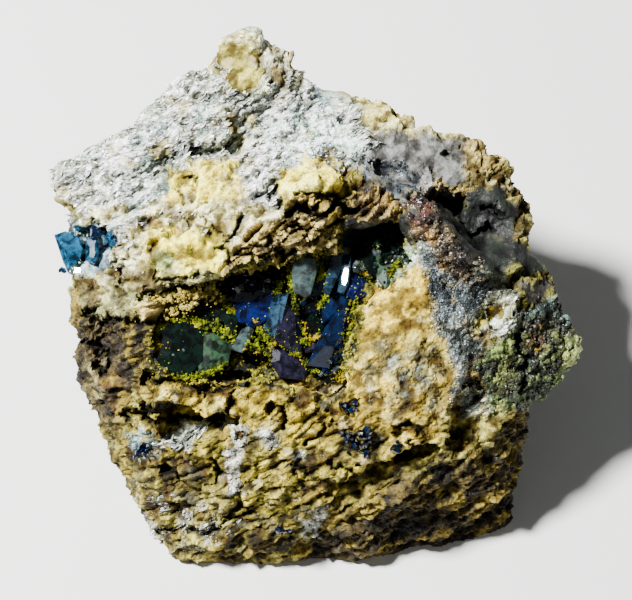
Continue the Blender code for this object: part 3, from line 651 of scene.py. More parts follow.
def surface_object(name: str, places: np.ndarray, faces: np.ndarray) -> bpy.types.Object:
    """Make an object from arrays.

    Args:
        name: The piece's name.
        places: World places in millimetres.
        faces: The corners of each triangle.

    Returns:
        The new object, linked to the scene.
    """
    mesh = bpy.data.meshes.new(name)
    count, corners = faces.shape
    mesh.vertices.add(len(places))
    mesh.vertices.foreach_set("co", (places * MM).astype(np.float32).ravel())
    mesh.loops.add(count * corners)
    mesh.loops.foreach_set("vertex_index", faces.astype(np.int32).ravel())
    mesh.polygons.add(count)
    mesh.polygons.foreach_set("loop_start", np.arange(0, count * corners, corners, dtype=np.int32))
    mesh.update(calc_edges=True)
    mesh.validate()
    piece = bpy.data.objects.new(name, mesh)
    bpy.context.scene.collection.objects.link(piece)
    return piece


def paint(mesh: bpy.types.Mesh, name: str, colours: np.ndarray) -> None:
    """Store a linear colour on every vertex, under a name that a material reads.

    Args:
        mesh: The mesh.
        name: The name.
        colours: Each vertex's red, green and blue.
    """
    layer = mesh.color_attributes.new(name, "FLOAT_COLOR", "POINT")
    rgba = np.ones((len(colours), 4), np.float32)
    rgba[:, :3] = np.clip(colours, 0.0, 1.0)
    layer.data.foreach_set("color", rgba.ravel())


class Nodes:
    """A small writer for one material's nodes."""

    def __init__(self, name: str) -> None:
        """Start an empty material.

        Args:
            name: The material's name.
        """
        self.material = bpy.data.materials.new(name)
        self.material.use_nodes = True
        self.tree = self.material.node_tree
        self.tree.nodes.clear()

    def add(self, kind: str, settings: dict | None = None, **links) -> bpy.types.Node:
        """Add a node, set its sockets and properties, and link its inputs.

        Args:
            kind: The node's type, without the ShaderNode in front.
            settings: Property names, or socket names or numbers, and their values.
            links: Input sockets, as their name with _ for a space or as i and a number, and what feeds them.

        Returns:
            The new node.
        """
        node = self.tree.nodes.new("ShaderNode" + kind)
        for key, value in (settings or {}).items():
            if isinstance(key, int) or key in node.inputs:
                node.inputs[key].default_value = value
            else:
                setattr(node, key, value)
        for key, source in links.items():
            name = key.replace("_", " ")
            place = int(name[1:]) if name[0] == "i" and name[1:].isdigit() else name
            self.tree.links.new(source, node.inputs[place])
        return node


@dataclass(frozen=True)
class Finish(ABC):
    """What a surface is made of, under the material's name."""

    name: str

    @abstractmethod
    def material(self) -> bpy.types.Material:
        """Build the material."""

    def stored(self) -> bpy.types.Material:
        """Give the material, which is built only once."""
        return bpy.data.materials.get(self.name) or self.material()


@dataclass(frozen=True)
class StoneFinish(Finish):
    """A mineral's finish: the vertex tint, broken up by grains of a real size, with its own gloss.

    The tint attribute already holds the colours of the zones, so this adds only what is finer than the
    mesh.

    Attributes:
        grain_mm: How wide a grain is.
        contrast: How far the grains differ in shade.
        roughness: The lowest and highest roughness.
        specular: The specular level.
        metallic: The metallic value.
        bump_mm: How deep the grain is.
        glint: How far each grain's face is turned, so that some catch the light.
        stretch: How the grain is drawn out along the beds.
        dip: How far the beds are turned, for every stone.
    """

    grain_mm: float
    contrast: float
    roughness: tuple[float, float]
    specular: float = 0.5
    metallic: float = 0.0
    bump_mm: float = 0.05
    glint: float = 0.0
    stretch: tuple[float, float, float] = (1.0, 1.0, 1.0)
    dip: ClassVar[float] = -0.55

    def material(self) -> bpy.types.Material:
        """Build the material.

        Returns:
            A material that reads the tint attribute and Object coordinates.
        """
        made = Nodes(self.name)
        tint = made.add("Attribute", {"attribute_name": "tint"})
        coordinate = made.add("TexCoord")
        place = made.add("Mapping", {"Scale": self.stretch, "Rotation": (0.0, self.dip, 0.0)},
                         Vector=coordinate.outputs["Object"])
        grains = made.add("TexVoronoi", {"Scale": 1.0 / (self.grain_mm * MM), "Randomness": 1.0},
                          Vector=place.outputs[0])
        dust = made.add("TexNoise", {"Scale": 0.6 / (self.grain_mm * MM), "Detail": 4.0, "Roughness": 0.65},
                        Vector=place.outputs[0])
        shade = made.add("MapRange", {1: 0.32, 2: 0.68, 3: 1.0 - self.contrast, 4: 1.0 + 0.6 * self.contrast},
                         i0=dust.outputs[0])
        grey = made.add("SeparateColor", Color=grains.outputs["Color"])
        fleck = made.add("MapRange", {3: 1.0 - 0.6 * self.contrast, 4: 1.0 + 0.5 * self.contrast},
                         i0=grey.outputs[0])
        both = made.add("Math", {"operation": "MULTIPLY"}, i0=shade.outputs[0], i1=fleck.outputs[0])
        colour = made.add("VectorMath", {"operation": "SCALE"},
                          i0=tint.outputs["Color"], Scale=both.outputs[0])
        rough = made.add("MapRange", {3: self.roughness[0], 4: self.roughness[1]}, i0=grey.outputs[1])
        height = made.add("Math", {"operation": "ADD"}, i0=dust.outputs[0], i1=grains.outputs["Distance"])
        bump = made.add("Bump", {"Strength": 0.8, "Distance": self.bump_mm * MM}, Height=height.outputs[0])
        normal = bump.outputs[0]
        if self.glint:
            # Each grain is a small mirror set at its own angle
            turned = made.add("VectorMath", {"operation": "SUBTRACT", 1: (0.5, 0.5, 0.5)},
                              i0=grains.outputs["Color"])
            small = made.add("VectorMath", {"operation": "SCALE", "Scale": self.glint}, i0=turned.outputs[0])
            tilted = made.add("VectorMath", {"operation": "ADD"}, i0=normal, i1=small.outputs[0])
            normal = made.add("VectorMath", {"operation": "NORMALIZE"}, i0=tilted.outputs[0]).outputs[0]
        shader = made.add(
            "BsdfPrincipled",
            {"Metallic": self.metallic, "Specular IOR Level": self.specular},
            Base_Color=colour.outputs[0], Roughness=rough.outputs[0], Normal=normal,
        )
        made.add("OutputMaterial", Surface=shader.outputs[0])
        return made.material


# Earthy limonite and goethite: weathered, dull, with a fine dusty grain
EARTH = StoneFinish("limonite_earth_weathered", 0.28, 0.5, (0.6, 0.95), 0.15, 0.0, 0.09)
# Muscovite schist, broken along its flakes: pearly, with many small mirrors
MICA = StoneFinish("muscovite_schist_cleaved", 0.3, 0.4, (0.2, 0.6), 0.7, 0.0, 0.06, 1.1, (0.45, 1.0, 1.5))
# Yellow ochre, soft and powdery: matt
OCHRE = StoneFinish("yellow_ochre_powdery", 0.22, 0.35, (0.8, 1.0), 0.08, 0.0, 0.07)
# Goethite, in layers: brown, with a faint gloss on broken edges
GOETHITE = StoneFinish("goethite_layered", 0.25, 0.5, (0.45, 0.9), 0.2, 0.0, 0.08, 0.2, (0.5, 1.0, 1.8))
# Arsenopyrite, massive and fine-grained: grey metal that sparkles grain by grain
ORE = StoneFinish("arsenopyrite_broken", 0.16, 0.35, (0.3, 0.6), 0.5, 0.5, 0.04, 0.8)
# A druse of green secondary crystals: small glossy points
DRUSE = StoneFinish("green_druse_grown", 0.3, 0.55, (0.3, 0.75), 0.5, 0.0, 0.08, 0.6)
# Sugary quartz: clean grains with bright faces
SUGAR = StoneFinish("quartz_sugary", 0.28, 0.35, (0.2, 0.55), 0.6, 0.0, 0.07, 0.9)
# A smooth vug wall of fine grey rock, slightly waxy
WALL = StoneFinish("grey_wall_smooth", 0.2, 0.35, (0.5, 0.8), 0.3, 0.0, 0.03, 0.2)
# Chartreuse iron crust between the crystals: fine mossy grains, satin
CRUST = StoneFinish("chartreuse_crust_grown", 0.2, 0.5, (0.6, 0.9), 0.12, 0.0, 0.08, 0.2)

ROCK_FINISHES = (EARTH, MICA, OCHRE, GOETHITE, ORE, DRUSE, SUGAR, WALL, CRUST)


@dataclass(frozen=True)
class ClearFinish(Finish):
    """A clear crystal: plain transmission, its IOR and what it absorbs in a metre.

    Attributes:
        tint: The colour of its body, where it isn't clear.
        absorbed: The colour that it lets through.
        density: How fast it absorbs, for each metre.
        ior: Its index of refraction.
        roughness: The polish of its faces.
        transmission: How clear it is.
        step_mm: How wide the growth steps on its faces are.
        veil_mm: How wide the cloudy veils in it are.
        veils: The noise levels of a clear and of a cloudy place, and how strong the tint is there.
    """

    tint: str
    absorbed: str
    density: float
    ior: float = 1.79
    roughness: float = 0.03
    transmission: float = 1.0
    step_mm: ClassVar[float] = 0.9
    veil_mm: ClassVar[float] = 1.1
    veils: ClassVar[tuple[tuple[float, float], ...]] = ((0.42, 0.12), (0.62, 1.3))

    def material(self) -> bpy.types.Material:
        """Build the material: a glassy surface over an absorbing inside.

        Returns:
            A see-through material that absorbs by the way that light goes in it.
        """
        made = Nodes(self.name)
        coordinate = made.add("TexCoord")
        steps = made.add("TexNoise", {"Scale": 1.0 / (self.step_mm * MM), "Detail": 4.0, "Roughness": 0.65},
                         Vector=coordinate.outputs["Object"])
        bump = made.add("Bump", {"Strength": 0.07, "Distance": 0.05 * MM}, Height=steps.outputs[0])
        veil = made.add(
            "TexNoise",
            {"Scale": 1.0 / (self.veil_mm * MM), "Detail": 4.0, "Roughness": 0.6, "Distortion": 0.6},
            Vector=coordinate.outputs["Object"],
        )
        clouds = made.add("ValToRGB", Fac=veil.outputs[0])
        body = linear(self.tint)
        for stop, (place, share) in zip(clouds.color_ramp.elements, self.veils):
            stop.position = place
            stop.color = (*np.clip(body * share, 0.0, 1.0), 1.0)
        shader = made.add(
            "BsdfPrincipled",
            {"Roughness": self.roughness, "IOR": self.ior, "Transmission Weight": self.transmission},
            Normal=bump.outputs[0], Base_Color=clouds.outputs[0],
        )
        inside_glass = made.add("VolumeAbsorption", {"Color": (*linear(self.absorbed), 1.0),
                                                     "Density": self.density})
        made.add("OutputMaterial", Surface=shader.outputs[0], Volume=inside_glass.outputs[0])
        return made.material


# Scorodite, grown: vitreous, near black where it is thick and blue, green or violet where light comes through
DEEP_BLUE = ClearFinish("scorodite_deep_blue_grown", "#153C78", "#2E5EB0", 360.0, transmission=0.88)
ROYAL_BLUE = ClearFinish("scorodite_royal_blue_grown", "#1A3294", "#3454D8", 260.0, transmission=0.84)
STEEL_BLUE = ClearFinish("scorodite_steel_blue_grown", "#4E80A4", "#5888AC", 260.0, roughness=0.1,
                         transmission=0.86)
SKY_BLUE = ClearFinish("scorodite_sky_blue_grown", "#3C96C8", "#48A0D4", 200.0, roughness=0.1,
                       transmission=0.84)
GREEN_BLACK = ClearFinish("scorodite_green_black_grown", "#163C2E", "#3C6450", 420.0, transmission=0.9)
SMOKY_VIOLET = ClearFinish("scorodite_smoky_violet_grown", "#464266", "#726C8C", 280.0, roughness=0.1,
                           transmission=0.86)
# The same, with faces that are etched or clouded inside
SLATE_TEAL = ClearFinish("scorodite_slate_teal_etched", "#405A58", "#5C8A8A", 260.0, roughness=0.35,
                         transmission=0.45)
CLOUDED = ClearFinish("scorodite_pale_green_clouded", "#44684C", "#5C8C62", 320.0, roughness=0.12,
                      transmission=0.75)
ICE = ClearFinish("scorodite_ice_blue_grown", "#C8DCE8", "#B0D0DC", 90.0, transmission=0.9)
CLEAR_FINISHES = (DEEP_BLUE, ROYAL_BLUE, STEEL_BLUE, SKY_BLUE, GREEN_BLACK, SMOKY_VIOLET, SLATE_TEAL, CLOUDED,
                  ICE)


@dataclass
class Ground:
    """A surface that grains stand on: its points, triangles, colour and how thickly each zone covers it."""

    places: np.ndarray
    normals: np.ndarray
    faces: np.ndarray
    tint: np.ndarray
    weights: dict[str, np.ndarray]


@dataclass
class RockSkin:
    """The rock: the solid's form, with the fine broken surface and the minerals of each zone.

    Attributes:
        voxel: The size of the even grid that the form is rebuilt on, in millimetres.
        triangles: How many triangles may be left after the hidden side is thinned.
        open_side: How many of them the piece with the open side has.
        smoothing: How many times each point moves to the middle of its neighbours.
        dip: How steeply the beds rise to the right, for every rock.
        facing_mm: How much farther out a surface counts that faces the camera.
        lifted: The heights over the floor between which the relief comes in.
        hollow: The depths between which a hollow is darkened with painted shade, and how dark.
        ridge: The heights between which a ridge is lightened with a painted highlight, and how light.
        cleft: The depths between which a cleft is darkened with painted shade, and how dark.
        thinning: How much stronger the hidden side is thinned, and in how many steps.
    """

    voxel: float = 0.3
    triangles: int = 285000
    open_side: int = 190000
    smoothing: int = 3
    faces: np.ndarray = field(init=False)
    places: np.ndarray = field(init=False)
    normals: np.ndarray = field(init=False)
    tint: np.ndarray = field(init=False)
    mineral: np.ndarray = field(init=False)
    weights: dict[str, np.ndarray] = field(default_factory=dict)
    dip: ClassVar[float] = math.radians(33.0)
    facing_mm: ClassVar[float] = 4.0
    lifted: ClassVar[tuple[float, float]] = (0.05, 0.9)
    # Painted shade in the hollows and clefts, and a painted highlight on the ridges
    hollow: ClassVar[tuple[float, float, float]] = (0.03, 0.38, 0.84)
    ridge: ClassVar[tuple[float, float, float]] = (0.02, 0.3, 0.2)
    cleft: ClassVar[tuple[float, float, float]] = (0.1, 0.8, 0.65)
    thinning: ClassVar[tuple[float, int]] = (2.5, 4)

    def build(self) -> list[bpy.types.Object]:
        """Build the rock's mesh from the solid's form, and part it where the camera doesn't see.

        Returns:
            The open side and the back, which share the points where they meet.
        """
        whole = self.base_form()
        mesh = whole.data
        places = self.smoothed(mesh, self.smoothing)
        self.place(mesh, places)
        normals = read_vertices(mesh, "normal")
        shift, sunk, tint, self.mineral = self.surface(places, normals)
        free = smoothstep(*self.lifted, places[:, 2])
        places = places + normals * (shift * free)[:, None] - OUT * (sunk * free)[:, None]
        places[:, 2] = np.maximum(places[:, 2], 0.0)
        self.place(mesh, places)
        self.places = places
        self.normals = read_vertices(mesh, "normal")
        # How deep each point lies: painted shade in the hollows, a painted highlight on the ridges
        depth = self.hollows(mesh)[:, None]
        self.tint = tint * (1.0 - self.risen(self.hollow, depth)) * (1.0 + self.risen(self.ridge, -depth))
        self.faces = faces_of(mesh)
        bpy.data.objects.remove(whole)
        order = np.argsort(-self.openness(self.places, self.normals)[self.faces].mean(1))
        return [self.part("rock", order[:self.open_side]), self.part("rock_back", order[self.open_side:])]

    def part(self, name: str, chosen: np.ndarray) -> bpy.types.Object:
        """Make a piece of some of the rock's triangles.

        Args:
            name: The piece's name.
            chosen: The triangles' numbers.

        Returns:
            The new piece, dressed.
        """
        corners, numbers = np.unique(self.faces[np.sort(chosen)], return_inverse=True)
        piece = surface_object(name, self.places[corners], numbers.reshape(-1, 3))
        self.dress(piece.data, self.tint[corners], self.mineral[corners])
        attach(piece, "root")
        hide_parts("matrix")
        return piece

    @staticmethod
    def risen(limits: tuple[float, float, float], value: np.ndarray) -> np.ndarray:
        """Rise smoothly from 0 at the first limit to the third number at the second limit."""
        low, high, most = limits
        return most * smoothstep(low, high, value)

    def openness(self, places: np.ndarray, normals: np.ndarray) -> np.ndarray:
        """How far out each place is, and farther where the surface faces the camera."""
        return to_face(places)[:, 2] + self.facing_mm * (normals @ OUT)

    @staticmethod
    def place(mesh: bpy.types.Mesh, places: np.ndarray) -> None:
        """Move a mesh's vertices to world places in millimetres."""
        mesh.vertices.foreach_set("co", (places * MM).astype(np.float32).ravel())
        mesh.update()

    def ground(self) -> Ground:
        """The finished rock, for grains to stand on."""
        return Ground(self.places, self.normals, self.faces, self.tint, self.weights)

    @staticmethod
    def dress(mesh: bpy.types.Mesh, tint: np.ndarray, mineral: np.ndarray) -> None:
        """Store the tint, and give each face the material of its mineral.

        Args:
            mesh: The mesh.
            tint: The colour of each vertex.
            mineral: The number of each vertex's mineral.
        """
        paint(mesh, "tint", tint)
        corners = np.empty(len(mesh.loops), np.int32)
        mesh.loops.foreach_get("vertex_index", corners)
        starts = np.empty(len(mesh.polygons), np.int32)
        mesh.polygons.foreach_get("loop_start", starts)
        mesh.polygons.foreach_set("material_index", mineral[corners[starts]].astype(np.int32))
        for finish in ROCK_FINISHES:
            mesh.materials.append(finish.stored())
        mesh.shade_flat()

    def base_form(self) -> bpy.types.Object:
        """Rebuild a merged copy of the solid on an even grid, and thin the side that isn't the open face.

        Returns:
            The form, as an object of its own.
        """
        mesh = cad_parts["matrix"].data.copy()
        work = bmesh.new()
        work.from_mesh(mesh)
        bmesh.ops.remove_doubles(work, verts=list(work.verts), dist=0.001 * MM)
        work.to_mesh(mesh)
        work.free()
        mesh.materials.clear()
        piece = bpy.data.objects.new("rock", mesh)
        bpy.context.scene.collection.objects.link(piece)
        even = piece.modifiers.new("Remesh", "REMESH")
        even.mode = "VOXEL"
        even.voxel_size = self.voxel * MM
        self.settle(piece)
        places = to_face(read_vertices(piece.data, "co") / MM)
        facing = read_vertices(piece.data, "normal") @ OUT
        seen = smoothstep(-0.35, 0.1, facing) * smoothstep(-19.0, -14.0, places[:, 2])
        group = piece.vertex_groups.new(name="hidden")
        strength, levels = self.thinning
        for level in range(1, levels + 1):
            chosen = np.flatnonzero(np.ceil((1.0 - seen) * levels) == level)
            group.add(chosen.tolist(), level / levels, "REPLACE")
        thin = piece.modifiers.new("Decimate", "DECIMATE")
        thin.ratio = min(1.0, self.triangles / (2.0 * len(piece.data.polygons)))
        thin.vertex_group = "hidden"
        thin.vertex_group_factor = strength
        thin.use_collapse_triangulate = True
        self.settle(piece)
        return piece

    @staticmethod
    def settle(piece: bpy.types.Object) -> None:
        """Replace a piece's mesh by the one that its modifiers give.

        Args:
            piece: The piece.
        """
        bpy.context.view_layer.update()
        graph = bpy.context.evaluated_depsgraph_get()
        made = bpy.data.meshes.new_from_object(piece.evaluated_get(graph))
        piece.modifiers.clear()
        piece.data = made

    def hollows(self, mesh: bpy.types.Mesh) -> np.ndarray:
        """How far each point lies below the surface near it, in millimetres: below 0 on ridges."""
        return np.sum((self.smoothed(mesh, 9) - self.places) * self.normals, -1)

    @staticmethod
    def smoothed(mesh: bpy.types.Mesh, times: int) -> np.ndarray:
        """Move each point to the middle of its neighbours, several times, to take the solid's facets off.

        Args:
            mesh: The mesh to read.
            times: How many times the points move.

        Returns:
            The new places, in world millimetres.
        """
        places = read_vertices(mesh, "co") / MM
        edges = np.empty(len(mesh.edges) * 2, np.int32)
        mesh.edges.foreach_get("vertices", edges)
        ends = np.concatenate((edges, edges.reshape(-1, 2)[:, ::-1].ravel())).reshape(-1, 2)
        size = len(places)
        count = np.bincount(ends[:, 0], minlength=size)
        flat = places[:, 2] < 0.02
        resting = places[flat]
        for _ in range(times):
            total = [np.bincount(ends[:, 0], places[ends[:, 1], axis], size) for axis in range(3)]
            places = np.stack(total, -1) / count[:, None]
            places[flat] = resting
        return places

    def surface(self, places: np.ndarray, normals: np.ndarray) -> tuple[np.ndarray, ...]:
        """Work out the relief, colour and mineral of each point.

        The zones are laid over each other like paint. Each has an outline on the open face, and noise
        and the facets of the broken surface push its border about. The relief adds the zone's own
        heights of lumps, facets, chips, flakes, crumbs and pits. The tone is lighter on the lumps' tops, as
        painted light, and darker between them; surfaces that face down and the clefts get painted shade.
        Stains, and painted shade that gathers in the hollows, lie over the minerals last.

        Args:
            places: World places in millimetres.
            normals: The surface's directions there.

        Returns:
            The shift along the normal, how far the clefts sink, the tint and the mineral's number.
        """
        face = to_face(places)
        front = smoothstep(-24.0, -15.0, self.openness(places, normals))
        shapes, facet_tone, chip_tone = self.unevenness(places)
        spots = face[:, :2] + np.stack([
            gradient_noise(places * 0.3, 50 + axis) * 1.5 + gradient_noise(places * 1.1, 60 + axis) * 0.7
            for axis in range(2)
        ], -1) + (facet_tone[:, None] - 0.5) * (1.3, 1.0)
        tone = 0.5 + 0.85 * rough_noise(places * 0.5, 4, 70) + 0.65 * (facet_tone - 0.5)
        # Lighter on the lumps' tops and darker between them: painted light and shade
        tone = np.clip(tone + 0.8 * (chip_tone - 0.5) + 0.45 * shapes["lumps"], 0.0, 1.0)
        tint = self.shaded(EARTH_COLOURS, tone)
        # Painted shade: where the surface faces down, the darker underside colours come in
        under = smoothstep(0.2, 0.7, -normals[:, 2])[:, None]
        tint = tint + (self.shaded(UNDERSIDE_PAINTED_SHADE_COLOURS, tone) - tint) * under
        mineral = np.full(len(places), Mineral.EARTH.value)
        heights = {item.name: np.full(len(places), getattr(EARTHY, item.name)) for item in fields(Relief)}
        swell = np.zeros(len(places))
        patches = gradient_noise(places * 0.45, 90) + 0.5 * gradient_noise(places * 1.4, 91) + 0.4 * (
            facet_tone - 0.5)
        for zone in ZONES:
            depth = inside(zone.outline, spots)
            weight = smoothstep(-zone.soft, zone.soft, depth) * front
            if zone.gaps:
                weight = weight * smoothstep(zone.gaps - 0.5, zone.gaps - 0.2, patches)
            own = self.shaded(zone.colours, np.clip(tone + zone.relief.flakes * shapes["streaks"], 0.0, 1.0))
            tint = tint + (own - tint) * weight[:, None]
            for name, height in heights.items():
                height += (getattr(zone.relief, name) - height) * weight
            swell += zone.swell * smoothstep(0.0, 2.5, depth) * front
            mineral = np.where(weight > 0.5, zone.mineral.value, mineral)
            for covered in self.weights.values():
                covered *= 1.0 - weight
            self.weights[zone.name] = weight
        shift = sum(height * shapes[name] for name, height in heights.items())
        local = shift - 0.6 * heights["lumps"] * shapes["lumps"]
        tint = self.stained(places, tint, mineral, local)
        sunk = front * self.clefts(spots)
        # Painted shade in the clefts: the deeper, the darker
        return shift + swell, sunk, tint * (1.0 - self.risen(self.cleft, sunk))[:, None], mineral

    @staticmethod
    def clefts(spots: np.ndarray) -> np.ndarray:
        """How deep the gaps are at each place, from its distance to each gap's line; the depth also sets
        their painted shade.

        Args:
            spots: Places on the open face, across and up.

        Returns:
            The depth in millimetres.
        """
        deepest = np.zeros(len(spots))
        for cleft in CLEFTS:
            line = np.array(cleft.line)
            way = np.full(len(spots), FAR)
            for start, end in zip(line[:-1], line[1:]):
                span = end - start
                along = np.clip((spots - start) @ span / (span @ span), 0.0, 1.0)
                way = np.minimum(way, np.linalg.norm(spots - start - along[:, None] * span, axis=1))
            near = smoothstep(cleft.radius + 0.22, 0.4 * cleft.radius, way)
            deepest = np.maximum(deepest, cleft.depth * near)
        return deepest

    @staticmethod
    def stained(places: np.ndarray, tint: np.ndarray, mineral: np.ndarray, local: np.ndarray) -> np.ndarray:
        """Lay the stains over the minerals that take them; the low ones are painted shade in the hollows.

        Args:
            places: World places in millimetres.
            tint: The colours so far.
            mineral: The mineral's number at each place.
            local: How far each place stands out of the surface near it.

        Returns:
            The stained colours.
        """
        for stain in STAINS_AND_PAINTED_SHADE:
            takes = np.isin(mineral, [kind.value for kind in stain.minerals])
            level = gradient_noise(places / stain.size, stain.seed)
            level += 0.45 * gradient_noise(places * 3.1 / stain.size, stain.seed + 50)
            # A low stain gathers where the surface is sunk: painted shade
            level -= 0.5 * local * stain.low
            cover = stain.amount * smoothstep(stain.level, stain.level + 0.16, level) * takes
            tint = tint + (linear(stain.colour) - tint) * cover[:, None]
        return tint

    @staticmethod
    def shaded(colours: tuple[str, str, str], tone: np.ndarray) -> np.ndarray:
        """Mix a light, a middle and a dark colour by a tone from 0, dark, to 1, light.

        Args:
            colours: The three colours, as sRGB hex codes.
            tone: The tone of each place.

        Returns:
            The linear colour of each place.
        """
        light, middle, dark = (linear(code) for code in colours)
        low = np.clip(tone * 2.0, 0.0, 1.0)[:, None]
        high = np.clip(tone * 2.0 - 1.0, 0.0, 1.0)[:, None]
        return dark + (middle - dark) * low + (light - middle) * high

    def unevenness(self, places: np.ndarray) -> tuple[dict[str, np.ndarray], np.ndarray, np.ndarray]:
        """Work out each kind of unevenness, about 1 high.

        Lumps are smooth noise. Facets are flat broken faces of two sizes, raised and sunk. Chips are
        small. Flakes are facets drawn out along the dipping beds. Crumbs are round grains with gaps
        between them, and pits are round holes, only here and there. Streaks are the edges of thin sheets,
        and only colour. Places are multiplied by how many swells, facets or grains go to a millimetre.

        Args:
            places: World places in millimetres.

        Returns:
            The heights by name, and the shades of the facets and of the chips.
        """
        face = to_face(places)
        along = face[:, 0] * math.cos(self.dip) + face[:, 1] * math.sin(self.dip)
        across = -face[:, 0] * math.sin(self.dip) + face[:, 1] * math.cos(self.dip) + 0.35 * face[:, 2]
        warp = np.stack([gradient_noise(places * 0.7, 11 + axis) for axis in range(3)], -1)
        fabric = np.stack((along * 0.72, across * 1.25, face[:, 2]), -1)
        large, facet_tone = facet_noise(fabric * 0.32 + 0.3 * warp, 21)
        broken, _ = facet_noise(fabric[:, (2, 0, 1)] * 0.36 - 0.3 * warp, 35)
        small, _ = facet_noise(fabric * 0.8 + 0.35 * warp, 23)
        nicks, _ = facet_noise(fabric[:, (1, 2, 0)] * 0.9 - 0.3 * warp, 37)
        chips, chip_tone = facet_noise(fabric * 1.9 + 0.3 * warp, 25)
        bedded = np.stack((along * 0.3, across * 1.8, face[:, 2] * 0.7), -1)
        flakes, flake_tone = facet_noise(bedded + 0.4 * warp, 27)
        thin, _ = facet_noise(bedded * (2.0, 1.9, 2.0) + 0.4 * warp, 29)
        sheets = np.stack((along * 0.35, across * 2.6, face[:, 2] * 1.2), -1) + 0.3 * warp
        near, far, _ = cell_noise(places * 1.35 + 0.3 * warp, 51)
        gaps = smoothstep(0.82, 1.0, 1.0 - (far - near))
        line = np.abs(gradient_noise(fabric * 0.24 + 0.2 * warp, 41))
        cracks = smoothstep(0.045, 0.0, line) * smoothstep(-0.1, 0.2, gradient_noise(places * 0.2, 42))
        pit_near, _, size = cell_noise(places * 0.4 + 0.3 * warp, 61)
        shapes = {
            "lumps": rough_noise(places * 0.38, 3, 31),
            "facets": large - 0.7 * broken + 0.35 * small - 0.4 * nicks - 0.7 * cracks,
            "chips": -chips,
            "flakes": flakes - 0.5 * thin,
            "crumbs": 0.9 - 1.6 * near - 0.6 * gaps,
            "streaks": 1.5 * gradient_noise(sheets, 45) + gradient_noise(sheets * 2.1, 46),
            "pits": -1.6 * smoothstep(0.0, 1.0, 1.0 - pit_near / (0.16 + 0.26 * size)) * (size > 0.35),
        }
        return shapes, facet_tone, 0.5 * chip_tone + 0.5 * flake_tone


class Crystal(ABC):
    """One crystal, with the finish that it is dressed in."""

    finish: ClearFinish

    @abstractmethod
    def surface(self) -> tuple[np.ndarray, np.ndarray]:
        """Work out the crystal's form.

        Returns:
            The places in the open face's frame, and triangles that close both ends.
        """


def ringed(rings: np.ndarray, ends: np.ndarray) -> tuple[np.ndarray, np.ndarray]:
    """Close a stack of rings of points into a solid.

    Args:
        rings: The rings, from the foot to the top, each with the same number of points.
        ends: The middle point of the foot and of the top.

    Returns:
        The places and the triangles.
    """
    levels, count = rings.shape[:2]
    steps = np.arange(count)
    after = (steps + 1) % count
    starts = np.arange(levels - 1)[:, None] * count
    low = np.stack((starts + steps, starts + after, starts + count + after), -1)
    high = np.stack((starts + steps, starts + count + after, starts + count + steps), -1)
    top = (levels - 1) * count
    caps = np.concatenate((np.stack((after, steps, np.full(count, top + count)), -1),
                           np.stack((top + steps, top + after, np.full(count, top + count + 1)), -1)))
    faces = np.concatenate((low.reshape(-1, 3), high.reshape(-1, 3), caps))
    return np.concatenate((rings.reshape(-1, 3), ends)), faces


# A prism's outline across its axis, and its rings along it: how far, and how wide
PRISM_OUTLINE = np.array(((0.5, 0.06), (0.24, 0.5), (-0.2, 0.5), (-0.5, 0.1), (-0.46, -0.12), (-0.22, -0.5),
                          (0.2, -0.5), (0.48, -0.1)))
PRISM_RINGS = np.array(((0.0, 0.6), (0.3, 1.0), (0.66, 0.98), (0.96, 0.3), (1.0, 0.16)))


@dataclass(frozen=True)
class Prism(Crystal):
    """A small crystal: its foot, axis, length, width, thickness and turn, in the open face's frame."""

    foot: tuple[float, float, float]
    axis: tuple[float, float, float]
    length: float
    width: float
    thickness: float
    turn: float
    finish: ClearFinish

    def surface(self) -> tuple[np.ndarray, np.ndarray]:
        """Carry an eight-sided outline along the axis, narrowing to a small end face.

        Returns:
            The places in the open face's frame, and triangles that close both ends.
        """
        axis = np.array(self.axis, float) / np.linalg.norm(self.axis)
        side = np.cross((0.0, 0.0, 1.0) if abs(axis[2]) < 0.9 else (0.0, 1.0, 0.0), axis)
        side /= np.linalg.norm(side)
        deep = np.cross(axis, side)
        angle = math.radians(self.turn)
        side, deep = (side * math.cos(angle) + deep * math.sin(angle),
                      deep * math.cos(angle) - side * math.sin(angle))
        flat = PRISM_OUTLINE[:, :1] * self.width * side + PRISM_OUTLINE[:, 1:] * self.thickness * deep
        rings = PRISM_RINGS[:, 1, None, None] * flat + PRISM_RINGS[:, 0, None, None] * self.length * axis
        foot = np.array(self.foot)
        return ringed(rings + foot, np.stack((foot, foot + axis * self.length)))


